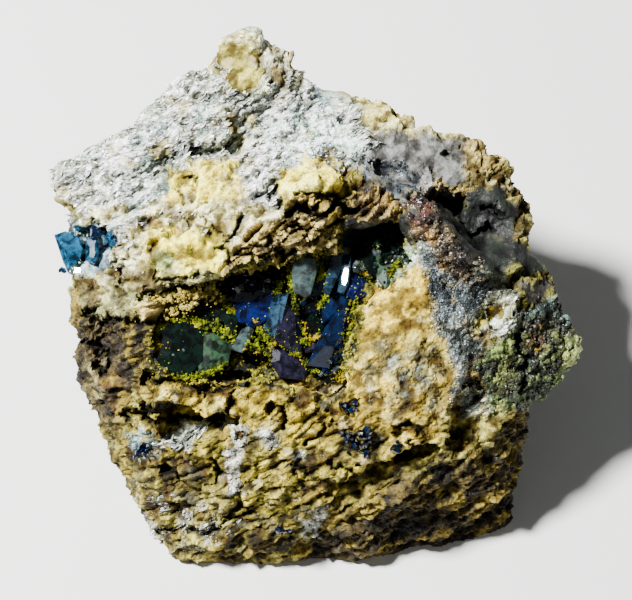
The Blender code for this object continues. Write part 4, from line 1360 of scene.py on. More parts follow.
@dataclass(frozen=True)
class Block(Crystal):
    """A large crystal with a flat top face: the same numbers as in the solid.

    Attributes:
        outline: The top face's corners, across and up.
        level: How far out its middle is.
        slope: How far it rises for each millimetre across and up.
        depth: How deep the crystal goes.
        finish: Its finish.
        peak: How far the small face in the middle stands above the edge.
        spread: How much wider it is than in the solid, so that the crystals meet.
        bevel: How wide the bevel round its top face is, in millimetres.
        drift: How far off the middle the small face is, against the top face's size.
    """

    outline: tuple[tuple[float, float], ...]
    level: float
    slope: tuple[float, float]
    depth: float
    finish: ClearFinish
    peak: float = 0.35
    spread: ClassVar[float] = 1.2
    bevel: ClassVar[float] = 0.08
    drift: ClassVar[float] = 0.28

    def surface(self) -> tuple[np.ndarray, np.ndarray]:
        """Carry the outline inwards: a low peak, bevelled edges and sides that narrow.

        Each ring is the outline scaled about its middle, and lowered. The last ring is the small face at
        the top, off to one side, so that the faces round it catch the light differently.

        Returns:
            The places in the open face's frame, and triangles that close both ends.
        """
        corners = np.array(self.outline)
        middle = corners.mean(0)
        away = corners - middle
        if np.sum(away[:, 0] * np.roll(away[:, 1], -1) - away[:, 1] * np.roll(away[:, 0], -1)) < 0.0:
            away = away[::-1]
        edge = self.bevel / np.linalg.norm(away, axis=1).mean()
        scales = self.spread * np.array((0.8, 0.97, 1.0, 1.0 - edge, 0.42))
        drops = np.array((self.depth, 0.5 * self.depth, 0.1, 0.0, -self.peak))
        turn = 2.4 * middle[0] + middle[1]
        moved = np.zeros((len(scales), 1, 2))
        moved[-1] = self.drift * np.abs(away).mean() * np.array((math.cos(turn), math.sin(turn)))
        flat = scales[:, None, None] * away + moved
        out = self.level + flat @ np.array(self.slope) - drops[:, None]
        rings = np.concatenate((flat + middle, out[..., None]), -1)
        return ringed(rings, np.stack((rings[0].mean(0), rings[-1].mean(0))))


@dataclass
class CrystalGroup:
    """Crystals grown together.

    Attributes:
        name: The piece's name.
        node: The CAD node that it stands for, or nothing for loose crystals on the rock.
        crystals: The crystals.
    """

    name: str
    node: str
    crystals: list[Crystal]

    def build(self) -> bpy.types.Object:
        """Build all the crystals as one mesh, dress it and hang it on the frame.

        Returns:
            The new piece.
        """
        places, faces, finishes = [], [], []
        start = 0
        for crystal in self.crystals:
            made, shape = crystal.surface()
            places.append(made)
            faces.append(shape + start)
            finishes.append(np.full(len(shape), CLEAR_FINISHES.index(crystal.finish)))
            start += len(made)
        piece = surface_object(self.name, to_world(np.concatenate(places)), np.concatenate(faces))
        mesh = piece.data
        for finish in CLEAR_FINISHES:
            mesh.materials.append(finish.stored())
        mesh.polygons.foreach_set("material_index", np.concatenate(finishes).astype(np.int32))
        mesh.shade_flat()
        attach(piece, "root")
        if self.node:
            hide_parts(self.node)
        return piece


# The vug's large crystals
VUG_CRYSTALS = [
    Block(((-20.6, -4.3), (-18, -3.2), (-15.4, -4.1), (-15.3, -7.8), (-16.8, -9.3), (-19.2, -9.3),
           (-21.2, -8)), -1.2, (0.1, -0.22), 4.0, GREEN_BLACK),
    Block(((-15, -4.4), (-12.6, -4.4), (-11.3, -6), (-11.7, -8), (-15, -9)), -1.4, (-0.1, -0.3), 4.0,
          CLOUDED),
    Block(((-14.8, -0.4), (-12.4, -0.2), (-10.5, -2.2), (-10.8, -4.6), (-13.2, -3.2)), -3.0, (0.2, -0.3), 3.4,
          GREEN_BLACK),
    Block(((-12, 3.4), (-9, 4), (-6, 4.3), (-5.8, 1.2), (-8.6, 0), (-11.8, 0.2)), -3.8, (0.12, -0.4), 3.4,
          DEEP_BLUE),
    Block(((-11.5, -0.1), (-8.6, -0.3), (-6, 0.8), (-6.6, -2.4), (-8.2, -3.2), (-10.6, -2.4)), -2.6,
          (0.2, -0.25), 4.2, ROYAL_BLUE),
    Block(((-10.9, -6.2), (-9.7, -4), (-8.1, -3.3), (-8.5, -4.8), (-9.6, -6.6)), -1.8, (-0.3, -0.4), 3.6,
          SLATE_TEAL, 0.1),
    Block(((-7, -1.8), (-5.4, 0.3), (-3.9, 0.4), (-5.2, -4.9), (-6.7, -4)), -1.9, (0.7, -0.2), 4.4,
          STEEL_BLUE),
    Block(((-3.9, 0.4), (-2.4, -1.6), (-2.1, -4.7), (-2, -7), (-5.1, -5)), -1.6, (-0.45, -0.22), 4.8,
          SMOKY_VIOLET),
    Block(((-2.9, 4.4), (-1.7, 5.2), (-0.3, 5.1), (-0.1, 3.7), (-0.8, 1.1), (-1.3, 0.7), (-2.7, 1.4)), -1.0,
          (-0.12, -0.08), 1.1, SLATE_TEAL, 0.1),
    Block(((-0.2, 4.2), (1.8, 4.6), (2.4, 2.6), (1.4, 1.1), (-0.6, 0.8)), -3.2, (0.2, -0.2), 3.4, DEEP_BLUE),
    Block(((3.5, 8.9), (4.6, 9.3), (4.1, 6.4), (2.7, 3.2), (1.9, 1.3), (1.2, 1.8), (2.2, 5.6)), -2.6,
          (-0.5, -0.3), 3.6, STEEL_BLUE),
    Block(((3.5, 5.6), (4.5, 5.4), (4.2, 2.4), (3.6, 1.1), (2.9, 1.4), (2.8, 3.2)), -2.0, (0.35, -0.25), 3.6,
          STEEL_BLUE, 0.2),
    Block(((4.2, 3.4), (6.7, 3.1), (6.5, 0.8), (5.2, 0.3), (4.1, 0.7)), -2.4, (-0.2, -0.35), 3.6, ROYAL_BLUE),
    Block(((3.6, 1), (4.2, 0.2), (4, -1.3), (2.8, -1.9), (1, -2.8), (1, -0.6), (1.8, 0.8)), -2.4, (0.2, -0.2),
          3.6, DEEP_BLUE),
    Block(((3.9, -1.3), (2.9, -1.8), (1.3, -3.9), (-0.7, -8), (1.8, -8.3), (3.7, -7), (4.1, -3.6)), -1.3,
          (-0.28, -0.12), 4.4, DEEP_BLUE, 0.6),
    Block(((-1.9, -4.8), (0.7, -4.5), (-0.1, -6.6), (-1.4, -6.8)), -2.4, (0.1, -0.3), 3.0, SMOKY_VIOLET),
    Block(((-5.4, -6.2), (-3.4, -6.8), (-0.9, -8.3), (-2, -10.2), (-4.6, -9.8), (-5.6, -8.2)), -1.3,
          (-0.1, -0.25), 4.0, SMOKY_VIOLET),
    Block(((1, -8.5), (3.2, -8), (3.4, -10.3), (1.4, -10.6)), -1.5, (0.1, -0.35), 3.0, GREEN_BLACK),
    Block(((4.7, 5.8), (7.5, 6.1), (8, 3.7), (6.9, 3.3), (4.7, 3.7)), -3.4, (0.1, -0.3), 3.0, GREEN_BLACK),
    Block(((7.7, 6.1), (10.5, 6), (11.1, 3.4), (9.2, 1.9), (8.2, 3)), -2.9, (0.2, -0.35), 3.4, CLOUDED),
    Block(((-0.4, -2), (0.9, -3), (1, -4.3), (-1.8, -4.6), (-2, -2.8)), -3.3, (0.1, -0.1), 2.6, GREEN_BLACK),
    Block(((-0.6, 0.4), (1, 0.6), (0.7, -1.6), (-1.8, -2), (-2.2, -0.6)), -4.0, (0.1, -0.1), 2.6, DEEP_BLUE),
]
# The crystals of the pocket on the left edge
EDGE_CRYSTALS = [
    Block(((-34.3, 8.3), (-33, 8.7), (-31.4, 7.9), (-31, 6.6), (-31.6, 5.1), (-32.8, 4.2), (-33.4, 5.6)),
          -6.6,
          (0.3, 0.05), 1.8, SKY_BLUE, 0.2),
    Block(((-30.2, 7.8), (-29, 7.9), (-28.7, 6.2), (-29.2, 5), (-30.2, 5.4)), -4.9, (0.3, -0.2), 3.4,
          SKY_BLUE, 0.2),
    Block(((-29.7, 10), (-28.5, 10.1), (-28.2, 8.5), (-29.6, 8.3)), -4.9, (0.2, -0.4), 3.0, DEEP_BLUE),
    Block(((-27.3, 8.8), (-25.8, 8.6), (-25.7, 7.2), (-27.1, 7.1)), -3.4, (0.2, -0.4), 3.0, SKY_BLUE),
    Block(((-32.5, 4.7), (-30.6, 4.8), (-30.4, 3.6), (-32.2, 3.4)), -6.4, (0.3, -0.3), 2.4, CLOUDED),
]


@dataclass(frozen=True)
class Druse:
    """A patch of small crystals: its corners, their number and lengths, how far out they are, finishes."""

    outline: tuple[tuple[float, float], ...]
    count: int
    length: tuple[float, float]
    floor: float
    finishes: tuple[ClearFinish, ...]


VUG_DRUSES = (
    Druse(((-20.6, -2.4), (-12, 2.6), (-3.6, 4.6), (4, 5.6), (11.4, 9), (11, 5.4), (5.6, 0.6), (3.6, -5),
           (3.2, -9.8), (-2, -10.4), (-15, -9.6), (-20.6, -8)), 120, (1.0, 2.8), -5.0,
          (DEEP_BLUE, GREEN_BLACK, ROYAL_BLUE)),
    Druse(((-0.6, -7.2), (2.6, -7.2), (2.8, -9.9), (-0.2, -10)), 26, (0.8, 1.8), -1.9, (ICE, DEEP_BLUE)),
    Druse(((4.6, 5), (6.4, 5), (6.4, 3.8), (4.6, 3.8)), 9, (0.8, 1.4), -3.0, (ICE,)),
    Druse(((6.6, 7.4), (12.2, 7.6), (12, 3), (8, 1.8)), 30, (0.9, 2.2), -3.8, (CLOUDED, GREEN_BLACK, ICE)),
    Druse(((-10, 4), (-6, 4.2), (-6.2, -1), (-10, -1.4)), 10, (0.7, 1.5), -3.3, (ROYAL_BLUE, ICE)),
    Druse(((-20, -5), (-16, -5), (-16, -8.6), (-19.4, -8.8)), 12, (0.7, 1.6), -1.9, (GREEN_BLACK, ICE)),
)
EDGE_DRUSES = (
    Druse(((-34, 9), (-29, 10.4), (-25.6, 8.8), (-26.8, 4.6), (-33.8, 3.8)), 40, (0.8, 1.8), -8.0,
          (SKY_BLUE, DEEP_BLUE, CLOUDED)),
    Druse(((-32.8, 4.8), (-28, 4.8), (-28, 3), (-32.6, 2.8)), 34, (0.7, 1.5), -6.8, (ICE, CLOUDED)),
    Druse(((-27.8, 8.9), (-25.4, 8.8), (-25.4, 7), (-27.6, 6.9)), 10, (0.7, 1.4), -3.6, (ICE, SKY_BLUE)),
)
# Small crystals on the ochre mound and the body below it
LOOSE_DRUSES = (
    Druse(((3.2, -13), (5, -13), (5, -14.6), (3.2, -14.6)), 10, (0.8, 1.6), 2.8, (DEEP_BLUE,)),
    Druse(((3.4, -16.4), (7.4, -16.6), (7.6, -20), (4, -19.8)), 34, (0.8, 1.8), 3.2,
          (DEEP_BLUE, GREEN_BLACK)),
    Druse(((9.8, -18), (11, -18), (11, -19.4), (9.8, -19.4)), 7, (0.8, 1.6), 3.0, (DEEP_BLUE,)),
    Druse(((-23.8, -19), (-21.6, -19), (-21.6, -20.6), (-23.8, -20.4)), 12, (0.8, 1.6), -0.6, (DEEP_BLUE,)),
    Druse(((-5.6, -29.6), (-3.2, -29.4), (-3.4, -30.4), (-5.4, -30.4)), 8, (0.8, 1.4), -0.6, (DEEP_BLUE,)),
)


def grown_in(druse: Druse, seed: int) -> list[Crystal]:
    """Scatter small crystals over a patch, each leaning its own way out of it.

    Args:
        druse: The patch.
        seed: Which scatter.

    Returns:
        The crystals.
    """
    draw = np.random.default_rng(seed)
    corners = np.array(druse.outline)
    spots = draw.uniform(corners.min(0), corners.max(0), (druse.count * 8, 2))
    spots = spots[inside(druse.outline, spots) > 0.1][: druse.count]
    low, high = druse.length
    grown = []
    for across, up in spots:
        lean = draw.normal(0.0, 0.5, 2)
        long = low + (high - low) * draw.random() ** 1.6
        wide = long * draw.uniform(0.4, 0.8)
        grown.append(Prism((across, up, druse.floor + draw.normal(0.0, 0.35)), (lean[0], lean[1], 1.0), long,
                           wide, wide * draw.uniform(0.45, 0.95), draw.uniform(0, 180),
                           druse.finishes[draw.integers(len(druse.finishes))]))
    return grown


def faces_of(mesh: bpy.types.Mesh) -> np.ndarray:
    """Give a mesh's triangles as an array of vertex numbers.

    Args:
        mesh: The mesh.

    Returns:
        Three vertex numbers for each triangle.
    """
    mesh.calc_loop_triangles()
    corners = np.empty(len(mesh.loop_triangles) * 3, np.int32)
    mesh.loop_triangles.foreach_get("vertices", corners)
    return corners.reshape(-1, 3)


# The coating on the crystals: its colour, and how far out it is none and all
COATING_COLOUR = "#8A8420"
COATING_LEVELS = (1.0, -3.5)


def crystal_ground(piece: bpy.types.Object) -> Ground:
    """Take a crystal piece as a surface for a coating, thicker toward the feet of the crystals.

    Args:
        piece: The crystals.

    Returns:
        Their surface, all of it one zone.
    """
    places = read_vertices(piece.data, "co") / MM
    thick = smoothstep(*COATING_LEVELS, to_face(places)[:, 2])
    tint = np.tile(linear(COATING_COLOUR), (len(places), 1))
    normals = read_vertices(piece.data, "normal")
    return Ground(places, normals, faces_of(piece.data), tint, {"crystals": thick})


def circle(sides: int) -> np.ndarray:
    """Give the corners of a regular outline with a radius of 1."""
    turn = np.arange(sides) * 2.0 * math.pi / sides
    return np.stack((np.cos(turn), np.sin(turn)), -1)


def ring_solid(sides: int, half: float) -> tuple[np.ndarray, np.ndarray]:
    """Make a flat plate: two rings of points around the axis, and their caps.

    Args:
        sides: How many sides it has.
        half: Half its thickness, against its radius.

    Returns:
        The places and the triangles.
    """
    ring = circle(sides)
    places = np.concatenate([np.column_stack((ring, np.full(sides, level))) for level in (-half, half)])
    steps = np.arange(sides)
    after = (steps + 1) % sides
    inner = np.arange(1, sides - 1)
    faces = np.concatenate((
        np.stack((steps, after, after + sides), -1), np.stack((steps, after + sides, steps + sides), -1),
        np.stack((np.zeros_like(inner), inner + 1, inner), -1),
        np.stack((np.zeros_like(inner), inner, inner + 1), -1) + sides,
    ))
    return places, faces


def double_pyramid(sides: int, waist: float) -> tuple[np.ndarray, np.ndarray]:
    """Make a grain: one or two rings of points around the axis, between two tips.

    Args:
        sides: How many sides it has.
        waist: Half the way between the two rings, or 0 for one ring.

    Returns:
        The places and the triangles.
    """
    ring = circle(sides)
    levels = (-waist, waist) if waist else (0.0,)
    rings = [np.column_stack((ring, np.full(sides, level))) for level in levels]
    places = np.concatenate((*rings, ((0.0, 0.0, -1.0), (0.0, 0.0, 1.0))))
    steps = np.arange(sides)
    after = (steps + 1) % sides
    top = (len(levels) - 1) * sides
    low, high = len(levels) * sides, len(levels) * sides + 1
    faces = [np.stack((after, steps, np.full(sides, low)), -1),
             np.stack((top + steps, top + after, np.full(sides, high)), -1)]
    if waist:
        faces.append(np.stack((steps, after, after + sides), -1))
        faces.append(np.stack((steps, after + sides, steps + sides), -1))
    return places, np.concatenate(faces)


@dataclass(frozen=True)
class LumpCrust:
    """A crust of rough balls: chains of places (across, up, out), each with its thickness, over the rock.

    Attributes:
        name: The piece's name.
        finish: Its finish.
        colours: Its light, middle and dark colour.
        stain: The colour that it has in patches.
        seed: Which scatter.
        chains: The places of each chain, and how thick it is.
    """

    name: str
    finish: StoneFinish
    colours: tuple[str, str, str]
    stain: str
    seed: int
    chains: tuple[tuple[tuple[tuple[float, float, float], ...], float], ...]

    def build(self) -> bpy.types.Object:
        """Grow the crust: large rough balls along the chains, and fine ones over and beside them.

        Each ball is a grid of two angles, its radius moved by noise. The balls overlap along the chain.

        Returns:
            The new piece.
        """
        draw = np.random.default_rng(self.seed)
        middles, sizes = [], []
        for chain, radius in self.chains:
            points = np.array(chain)
            spans = np.linalg.norm(np.diff(points, axis=0), axis=1)
            far = np.concatenate(((0.0,), np.cumsum(spans)))
            # How many balls go to a radius of the chain, how far off it they are and how large: coarse, fine
            for share, spread, size in ((7.0, 0.45, 0.26 * radius + 0.06), (19.0, 0.62, 0.1)):
                count = int(share * far[-1] / radius) + 8
                at = draw.uniform(0.0, far[-1], count)
                line = np.stack([np.interp(at, far, points[:, axis]) for axis in range(3)], -1)
                way = draw.normal(0.0, 1.0, line.shape) * (spread, spread, 0.3 * spread)
                wave = radius * (1.0 + 0.5 * np.sin(5.0 * at))[:, None]
                middles.append(line + way * wave - (0.0, 0.0, 0.3 * size))
                sizes.append(size * (0.6 + 0.8 * draw.random(count)))
        middle, size = np.concatenate(middles), np.concatenate(sizes)
        around, along = 5, 4
        rise = (np.arange(1, along) / along)[:, None] * math.pi
        flat = circle(around)
        ring = np.stack(np.broadcast_arrays(np.sin(rise) * flat[:, 0], np.sin(rise) * flat[:, 1],
                                            -np.cos(rise)), -1)
        ball, faces = ringed(ring, np.array(((0.0, 0.0, -1.0), (0.0, 0.0, 1.0))))
        places = (middle[:, None] + ball * size[:, None, None]).reshape(-1, 3)
        rough = 1.0 + 0.9 * gradient_noise(places * 2.6, 602) + 0.5 * gradient_noise(places * 7.0, 603)
        places = np.repeat(middle, len(ball), axis=0) + np.tile(ball, (len(middle), 1)) * (
            np.repeat(size, len(ball)) * rough)[:, None]
        joined = faces[None] + (np.arange(len(middle)) * len(ball))[:, None, None]
        piece = surface_object(self.name, to_world(places), joined.reshape(-1, 3))
        tone = 0.5 + 0.8 * gradient_noise(places * 0.8, 604) + 0.5 * gradient_noise(places * 3.0, 605)
        tint = RockSkin.shaded(self.colours, np.clip(tone, 0.0, 1.0))
        patches = smoothstep(0.1, 0.35, gradient_noise(places * 0.5, 606))[:, None]
        paint(piece.data, "tint", tint + (linear(self.stain) - tint) * 0.6 * patches)
        piece.data.materials.append(self.finish.stored())
        piece.data.shade_flat()
        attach(piece, "root")
        return piece


# The iron crust between the crystals, and the earthy ledge that is in the light under the roof's lip
LUMPS = (
    LumpCrust("chartreuse_crust", CRUST, ("#94A000", "#465002", "#0C1001"), "#A88A10", 601, (
        (((-19.6, -2.5, -2.2), (-18.2, -2.3, -2.2), (-16.8, -2.6, -2.0), (-15.2, -3.2, -1.6),
          (-13.6, -3.2, -1.6),
          (-12.2, -3.8, -1.6), (-11.2, -4.6, -1.5), (-10.8, -5.4, -1.6)), 0.8),
        (((-3.4, 4.5, -1.6), (-3.3, 3.2, -1.4), (-3.2, 2.0, -1.3), (-3.0, 0.8, -1.4), (-2.9, -0.3, -1.6),
          (-2.6, -1.4, -2.0)), 0.36),
        (((-4.7, 2.6, -2.6), (-4.9, 1.5, -2.4), (-5.2, 0.6, -2.4)), 0.42),
        (((-7.6, -3.2, -1.9), (-7.3, -4.2, -1.4), (-6.4, -4.9, -1.0), (-5.6, -5.6, -0.8)), 0.62),
        (((-8.4, -5.6, -1.2), (-7.4, -6.4, -0.8), (-6.6, -7.2, -0.7)), 0.75),
        (((-5.0, -5.4, -0.7), (-4.0, -6.0, -0.9), (-3.0, -6.7, -1.1), (-2.0, -7.3, -1.1)), 0.34),
        (((-2.0, -5.6, -1.6), (-0.8, -5.2, -1.8), (0.5, -4.7, -1.8)), 0.55),
        (((-1.9, -3.2, -2.4), (-1.6, -4.4, -2.2)), 0.45),
        (((4.9, 0.2, -1.8), (5.2, -0.8, -1.4), (5.4, -1.9, -1.0), (5.0, -2.9, -0.7), (4.6, -3.8, -0.6),
          (4.3, -4.8, -0.6), (4.0, -5.6, -0.6)), 0.62),
        (((0.3, 5.0, -2.2), (0.7, 4.2, -2.4), (1.0, 3.4, -2.6), (0.4, 2.7, -2.8)), 0.5),
        (((-21.9, -8.3, -0.5), (-20.9, -9.2, -0.3), (-19.4, -9.9, -0.2), (-17.8, -10.2, -0.1),
          (-16.2, -10.1, -0.1),
          (-14.6, -9.7, -0.2), (-13.0, -9.0, -0.4), (-11.6, -8.3, -0.6)), 0.42),
        (((0.2, -0.9, -2.6), (0.9, -0.3, -2.5), (1.5, 0.6, -2.6)), 0.36),
        (((-14.6, 0.0, -2.6), (-13.4, 0.4, -2.8), (-12.4, 0.3, -3.0), (-11.9, -0.6, -2.9),
          (-10.6, -1.6, -2.7)), 0.55),
        (((-1.6, -8.0, -0.6), (-0.6, -8.7, -0.5), (0.4, -9.4, -0.6)), 0.36),
        (((5.2, 4.6, -2.6), (6.2, 3.4, -2.4), (7.2, 2.9, -2.2)), 0.4),
        (((9.4, 3.4, -1.9), (10.4, 4.2, -2.0), (10.8, 5.4, -2.3)), 0.4),
        (((2.4, -9.9, -0.9), (3.4, -10.4, -0.6), (4.2, -9.2, 0.0), (4.3, -7.6, 0.0)), 0.5),
        (((-20.6, -6.4, -1.4), (-20.9, -5.2, -1.6), (-20.6, -4.0, -2.0), (-20.0, -3.2, -2.2)), 0.36),
    )),
    LumpCrust("ochre_ledge", OCHRE, ("#E6D678", "#9C8C3C", "#2E2810"), "#B0943A", 611, (
        (((-23.2, -1.6, -1.6), (-21.0, -0.5, -1.8), (-18.0, 0.0, -2.0), (-15.0, 0.6, -2.2),
          (-13.4, 0.8, -2.4)),
         1.0),
        (((-23.2, -1.7, -0.2), (-22.2, -0.5, -0.3), (-20.6, 0.1, -0.4), (-18.8, 0.5, -0.5),
          (-16.8, 0.7, -0.7),
          (-15.0, 1.0, -1.0), (-13.4, 1.2, -1.3)), 0.8),
        (((-19.4, -1.9, -1.3), (-18.2, -1.2, -1.3), (-17.0, -0.8, -1.4), (-15.9, -0.7, -1.6)), 0.6),
    )),
)


class GrainShape(Enum):
    """The shapes that loose grains come in."""

    FLAKE = 0
    CRUMB = 1
    CUBE = 2
    POINT = 3

    def solid(self) -> tuple[np.ndarray, np.ndarray]:
        """Build the shape, about 1 in radius.

        Returns:
            The places and the triangles.
        """
        if self is GrainShape.FLAKE:
            return ring_solid(6, 0.07)
        if self is GrainShape.CRUMB:
            return double_pyramid(5, 0.0)
        if self is GrainShape.CUBE:
            return ring_solid(4, 0.7)
        return double_pyramid(4, 0.35)


@dataclass
class Grains:
    """Small grains that stand on the rock, as one joined mesh.

    Attributes:
        name: The piece's name.
        shape: What each grain is.
        zones: The zones that it grows on, and how thickly.
        count: How many there are.
        radius: The smallest and largest radius, in millimetres.
        finish: The material.
        lean: How far the grains turn from the surface, from 0, none, to 1, any way.
        shade: The darkest and lightest that a grain is, against the rock under it.
        seed: Which scatter.
        own_colour: A colour of its own, mixed in by half.
        sink: How deep a grain sits, in radii.
        drawn_out: How many times longer than wide a grain is, along the beds.
        patches: The noise levels between which the grains go from none to all.
    """

    name: str
    shape: GrainShape
    zones: dict[str, float]
    count: int
    radius: tuple[float, float]
    finish: StoneFinish
    lean: float
    shade: tuple[float, float]
    seed: int
    own_colour: str = ""
    sink: float = 0.2
    drawn_out: float = 1.0
    patches: tuple[float, float] = (-0.35, 0.35)

    def build(self, ground: Ground) -> bpy.types.Object:
        """Scatter the grains over a surface.

        A triangle is drawn by its area and its zone, and a place by two numbers in it. Each grain is the
        shape, jittered, stretched, turned and set on that place.

        Args:
            ground: The surface.

        Returns:
            The new piece.
        """
        draw = np.random.default_rng(self.seed)
        faces = ground.faces
        corners = ground.places[faces]
        area = np.linalg.norm(np.cross(corners[:, 1] - corners[:, 0], corners[:, 2] - corners[:, 0]), axis=1)
        thick = sum(ground.weights[name] * amount for name, amount in self.zones.items())
        patches = smoothstep(*self.patches, gradient_noise(ground.places * 0.6, self.seed))
        chance = area * (thick * patches)[faces].mean(1)
        chosen = draw.choice(len(faces), self.count, p=chance / chance.sum())
        part = draw.random((self.count, 2))
        part = np.where(part.sum(1, keepdims=True) > 1.0, 1.0 - part, part)
        blend = np.column_stack((1.0 - part.sum(1), part))
        spots = np.einsum("nk,nkd->nd", blend, corners[chosen])
        up = np.einsum("nk,nkd->nd", blend, ground.normals[faces[chosen]])
        up = up + draw.normal(0.0, self.lean, up.shape)
        up /= np.linalg.norm(up, axis=1, keepdims=True)
        beds = math.cos(RockSkin.dip) * ACROSS + math.sin(RockSkin.dip) * UP
        way = draw.normal(0.0, 1.0, up.shape) + (5.0 * beds if self.drawn_out > 1.0 else 0.0)
        side = way - np.sum(way * up, -1, keepdims=True) * up
        side /= np.linalg.norm(side, axis=1, keepdims=True)
        turned = np.stack((side, np.cross(up, side), up), 1)
        shape, shape_faces = self.shape.solid()
        low, high = self.radius
        size = low + (high - low) * draw.random(self.count) ** 2
        stretch = draw.uniform(0.7, 1.3, (self.count, 1, 3)) * size[:, None, None]
        stretch = stretch * (self.drawn_out, 1.0, 1.0)
        local = shape[None] * stretch * draw.uniform(0.8, 1.15, (self.count, len(shape), 1))
        feet = spots - up * (size * self.sink)[:, None]
        places = np.einsum("nvd,ndk->nvk", local, turned) + feet[:, None]
        places[..., 2] = np.maximum(places[..., 2], 0.0)
        joined = shape_faces[None] + (np.arange(self.count) * len(shape))[:, None, None]
        piece = surface_object(self.name, places.reshape(-1, 3), joined.reshape(-1, 3))
        under = ground.tint[faces[chosen]].mean(1)
        if self.own_colour:
            under = 0.5 * under + 0.5 * linear(self.own_colour)
        tint = np.repeat(under * draw.uniform(*self.shade, (self.count, 1)), len(shape), axis=0)
        paint(piece.data, "tint", tint)
        piece.data.materials.append(self.finish.stored())
        piece.data.shade_flat()
        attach(piece, "root")
        return piece


GRAINS = (
    Grains("mica_flakes", GrainShape.FLAKE,
           {"silver crest": 1.0, "green crest shade": 1.0, "pale cream": 1.0, "silver streak": 1.4,
            "silver below": 1.0, "tan crest stain": 0.4, "grey in the foot": 1.0, "body grey": 0.5,
            "cream foot": 0.1},
           7600, (0.08, 0.26), MICA, 0.35, (0.22, 1.6), 401, "#EEF4F0", 0.2, 4.0),
    Grains("earth_crumbs", GrainShape.CRUMB,
           {"body gold": 0.8, "body grey": 0.6, "gold below vug": 0.7, "left flank": 0.7, "cream foot": 0.6,
            "brown in the foot": 1.0, "roof lip": 0.8, "grey lip": 1.0, "ochre mound": 0.5,
            "khaki bloom": 0.5,
            "mound top": 0.6, "cream rim": 0.6, "orange rim": 0.8, "olive stripes": 0.8, "pale patches": 0.8,
            "pocket rim": 1.0, "rust layers": 0.8, "ochre lump": 0.4, "ochre overhang": 0.4},
           9600, (0.07, 0.26), EARTH, 0.6, (0.65, 1.3), 402),
    Grains("quartz_grains", GrainShape.CUBE,
           {"sugary patch": 1.0, "sugary ridge": 0.5, "amber in the ridge": 0.4, "red patch": 0.3,
            "grey speckle": 1.0, "quartz lump": 1.6, "quartz streak": 1.6, "low quartz streak": 1.6,
            "small quartz": 1.6, "low sparkle": 1.6, "middle sparkle": 1.6, "body grey": 0.25,
            "silver crest": 0.1, "cave rim": 0.8, "brown fringe": 0.6},
           6600, (0.08, 0.26), SUGAR, 0.9, (0.75, 1.6), 403),
    Grains("ore_grains", GrainShape.CUBE,
           {"silver ore": 1.0, "slate ore": 1.0, "ore band": 1.0, "brown fringe": 0.4, "slate streak": 0.3},
           4200, (0.07, 0.22), ORE, 0.9, (0.7, 1.6), 404),
    Grains("druse_points", GrainShape.POINT,
           {"green corner": 1.0, "bright moss": 1.0, "light olive": 1.0, "teal edge": 0.9,
            "brown streak": 0.6,
            "green vug side": 1.0, "blue vug": 1.0},
           5600, (0.12, 0.36), DRUSE, 0.45, (0.6, 1.6), 405),
    Grains("crust_tufts", GrainShape.CRUMB, {"vug lining": 1.0}, 5000, (0.08, 0.28), CRUST, 0.8, (0.5, 1.5),
           406,
           "#A8A02A"),
)
# The same crust where it has grown over the crystals
COATING = Grains("crust_coating", GrainShape.CRUMB, {"crystals": 1.0}, 1800, (0.05, 0.16), CRUST, 0.8,
                 (0.5, 1.5),
                 411, "#7E8A0A", 0.2, 1.0, (0.12, 0.3))


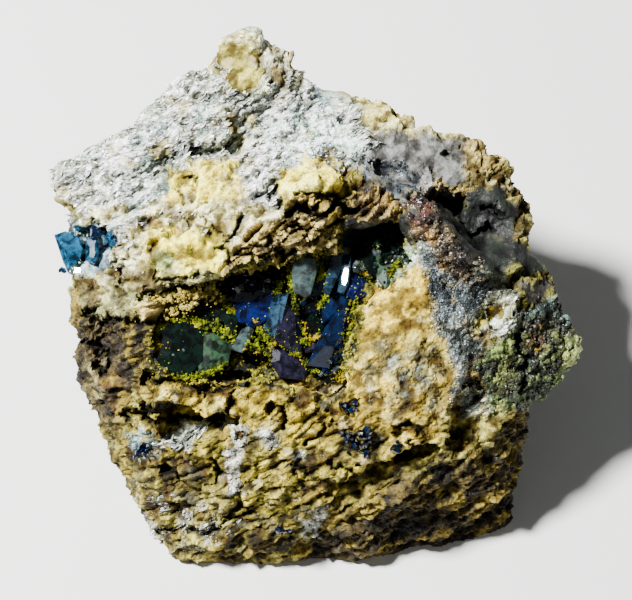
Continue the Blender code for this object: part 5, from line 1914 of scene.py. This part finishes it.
@dataclass
class Studio:
    """A pale floor, soft light and the camera at the photograph's angle.

    Attributes:
        distance: How far the camera is from the open face, in metres.
        frame_width: How wide the picture is there, in millimetres.
        key_power: The key light's power in watts.
        fill_power: The fill light's power.
        sky: The strength of the pale sky.
        floor_half: Half the floor's width, in metres.
        lamp_distance: How far the lights are from the open face, in metres.
    """

    distance: float = 0.5
    frame_width: float = 82.4
    key_power: float = 15.0
    fill_power: float = 0.5
    sky: float = 0.11
    floor_half: float = 1.5
    lamp_distance: float = 0.5

    def build(self) -> None:
        """Make the floor, the lights and the camera."""
        self.floor()
        self.lights()
        self.camera()

    def floor(self) -> None:
        """Lay a plain pale floor just under the rock."""
        size = self.floor_half
        mesh = bpy.data.meshes.new("floor")
        mesh.from_pydata([(-size, -size, 0), (size, -size, 0), (size, size, 0), (-size, size, 0)], [],
                         [(0, 1, 2, 3)])
        floor = bpy.data.objects.new("floor", mesh)
        bpy.context.scene.collection.objects.link(floor)
        made = Nodes("floor_paper_pale")
        shader = made.add("BsdfPrincipled", {"Base Color": (*linear("#D8D8D6"), 1.0), "Roughness": 0.9})
        made.add("OutputMaterial", Surface=shader.outputs[0])
        mesh.materials.append(made.material)

    def lights(self) -> None:
        """Hang a key light at the upper left, a weak fill at the lower right and a pale sky."""
        target = Vector(FACE_CENTRE * MM)
        for name, way, power, size in (
            ("key", (-0.58, 0.52, 0.7), self.key_power, 0.1),
            ("fill", (0.7, -0.5, 0.6), self.fill_power, 0.6),
        ):
            light = bpy.data.lights.new(name, "AREA")
            light.shape = "DISK"
            light.size = size
            light.energy = power
            lamp = bpy.data.objects.new(name, light)
            direction = Vector(np.array(way) @ FACE_AXES).normalized()
            lamp.location = target + direction * self.lamp_distance
            lamp.rotation_euler = direction.to_track_quat("Z", "Y").to_euler()
            bpy.context.scene.collection.objects.link(lamp)
        world = bpy.data.worlds.new("sky")
        world.use_nodes = True
        back = world.node_tree.nodes["Background"]
        back.inputs["Color"].default_value = (0.9, 0.95, 1.0, 1.0)
        back.inputs["Strength"].default_value = self.sky
        bpy.context.scene.world = world

    def camera(self) -> None:
        """Aim the camera square at the open face's frame, with a long lens."""
        lens = bpy.data.cameras.new("camera")
        lens.sensor_width = 36.0
        lens.lens = lens.sensor_width * self.distance / (self.frame_width * MM)
        lens.clip_start = 0.01
        lens.clip_end = 10.0
        view = bpy.data.objects.new("camera", lens)
        axes = Matrix((ACROSS, UP, OUT)).transposed().to_4x4()
        axes.translation = Vector(FACE_CENTRE * MM + OUT * self.distance)
        view.matrix_world = axes
        bpy.context.scene.collection.objects.link(view)
        bpy.context.scene.camera = view


def crust(named: list[Block], druses: tuple[Druse, ...], seed: int) -> list[Crystal]:
    """Join a crust's large crystals and the small ones that fill in between.

    Args:
        named: The large crystals.
        druses: The patches of small ones.
        seed: Which scatter the first patch has.

    Returns:
        All the crystals.
    """
    grown = list(named)
    for number, druse in enumerate(druses):
        grown += grown_in(druse, seed + number)
    return grown


def standing(grown: list[Prism], rock: np.ndarray) -> list[Prism]:
    """Set small crystals on the rock: each foot goes a little under the outermost point near it.

    Args:
        grown: The crystals, with their places across and up.
        rock: The rock's places, in world millimetres.

    Returns:
        The same crystals, at the rock's surface.
    """
    near, buried = 0.4, 0.35
    places = to_face(rock)
    placed = []
    for crystal in grown:
        across, up, _ = crystal.foot
        close = np.hypot(places[:, 0] - across, places[:, 1] - up) < near
        placed.append(replace(crystal, foot=(across, up, places[close, 2].max() - buried)))
    return placed


def main() -> None:
    """Build each class in order, and report each piece."""
    logging.basicConfig(level=logging.INFO, format="%(message)s")
    Studio().build()
    rock = RockSkin()
    pieces = rock.build()
    crystals = [
        CrystalGroup("scorodite_vug", "vug_crystals", crust(VUG_CRYSTALS, VUG_DRUSES, 501)).build(),
        CrystalGroup("scorodite_edge", "edge_crystals", crust(EDGE_CRYSTALS, EDGE_DRUSES, 521)).build(),
        CrystalGroup("scorodite_loose", "", standing(crust([], LOOSE_DRUSES, 541), rock.places)).build(),
    ]
    pieces += crystals
    ground = rock.ground()
    pieces += [grains.build(ground) for grains in GRAINS]
    pieces.append(COATING.build(crystal_ground(crystals[0])))
    pieces += [lumps.build() for lumps in LUMPS]
    for piece in pieces:
        LOG.info("%s: %d faces", piece.name, len(piece.data.polygons))


if __name__ == "__main__":
    main()
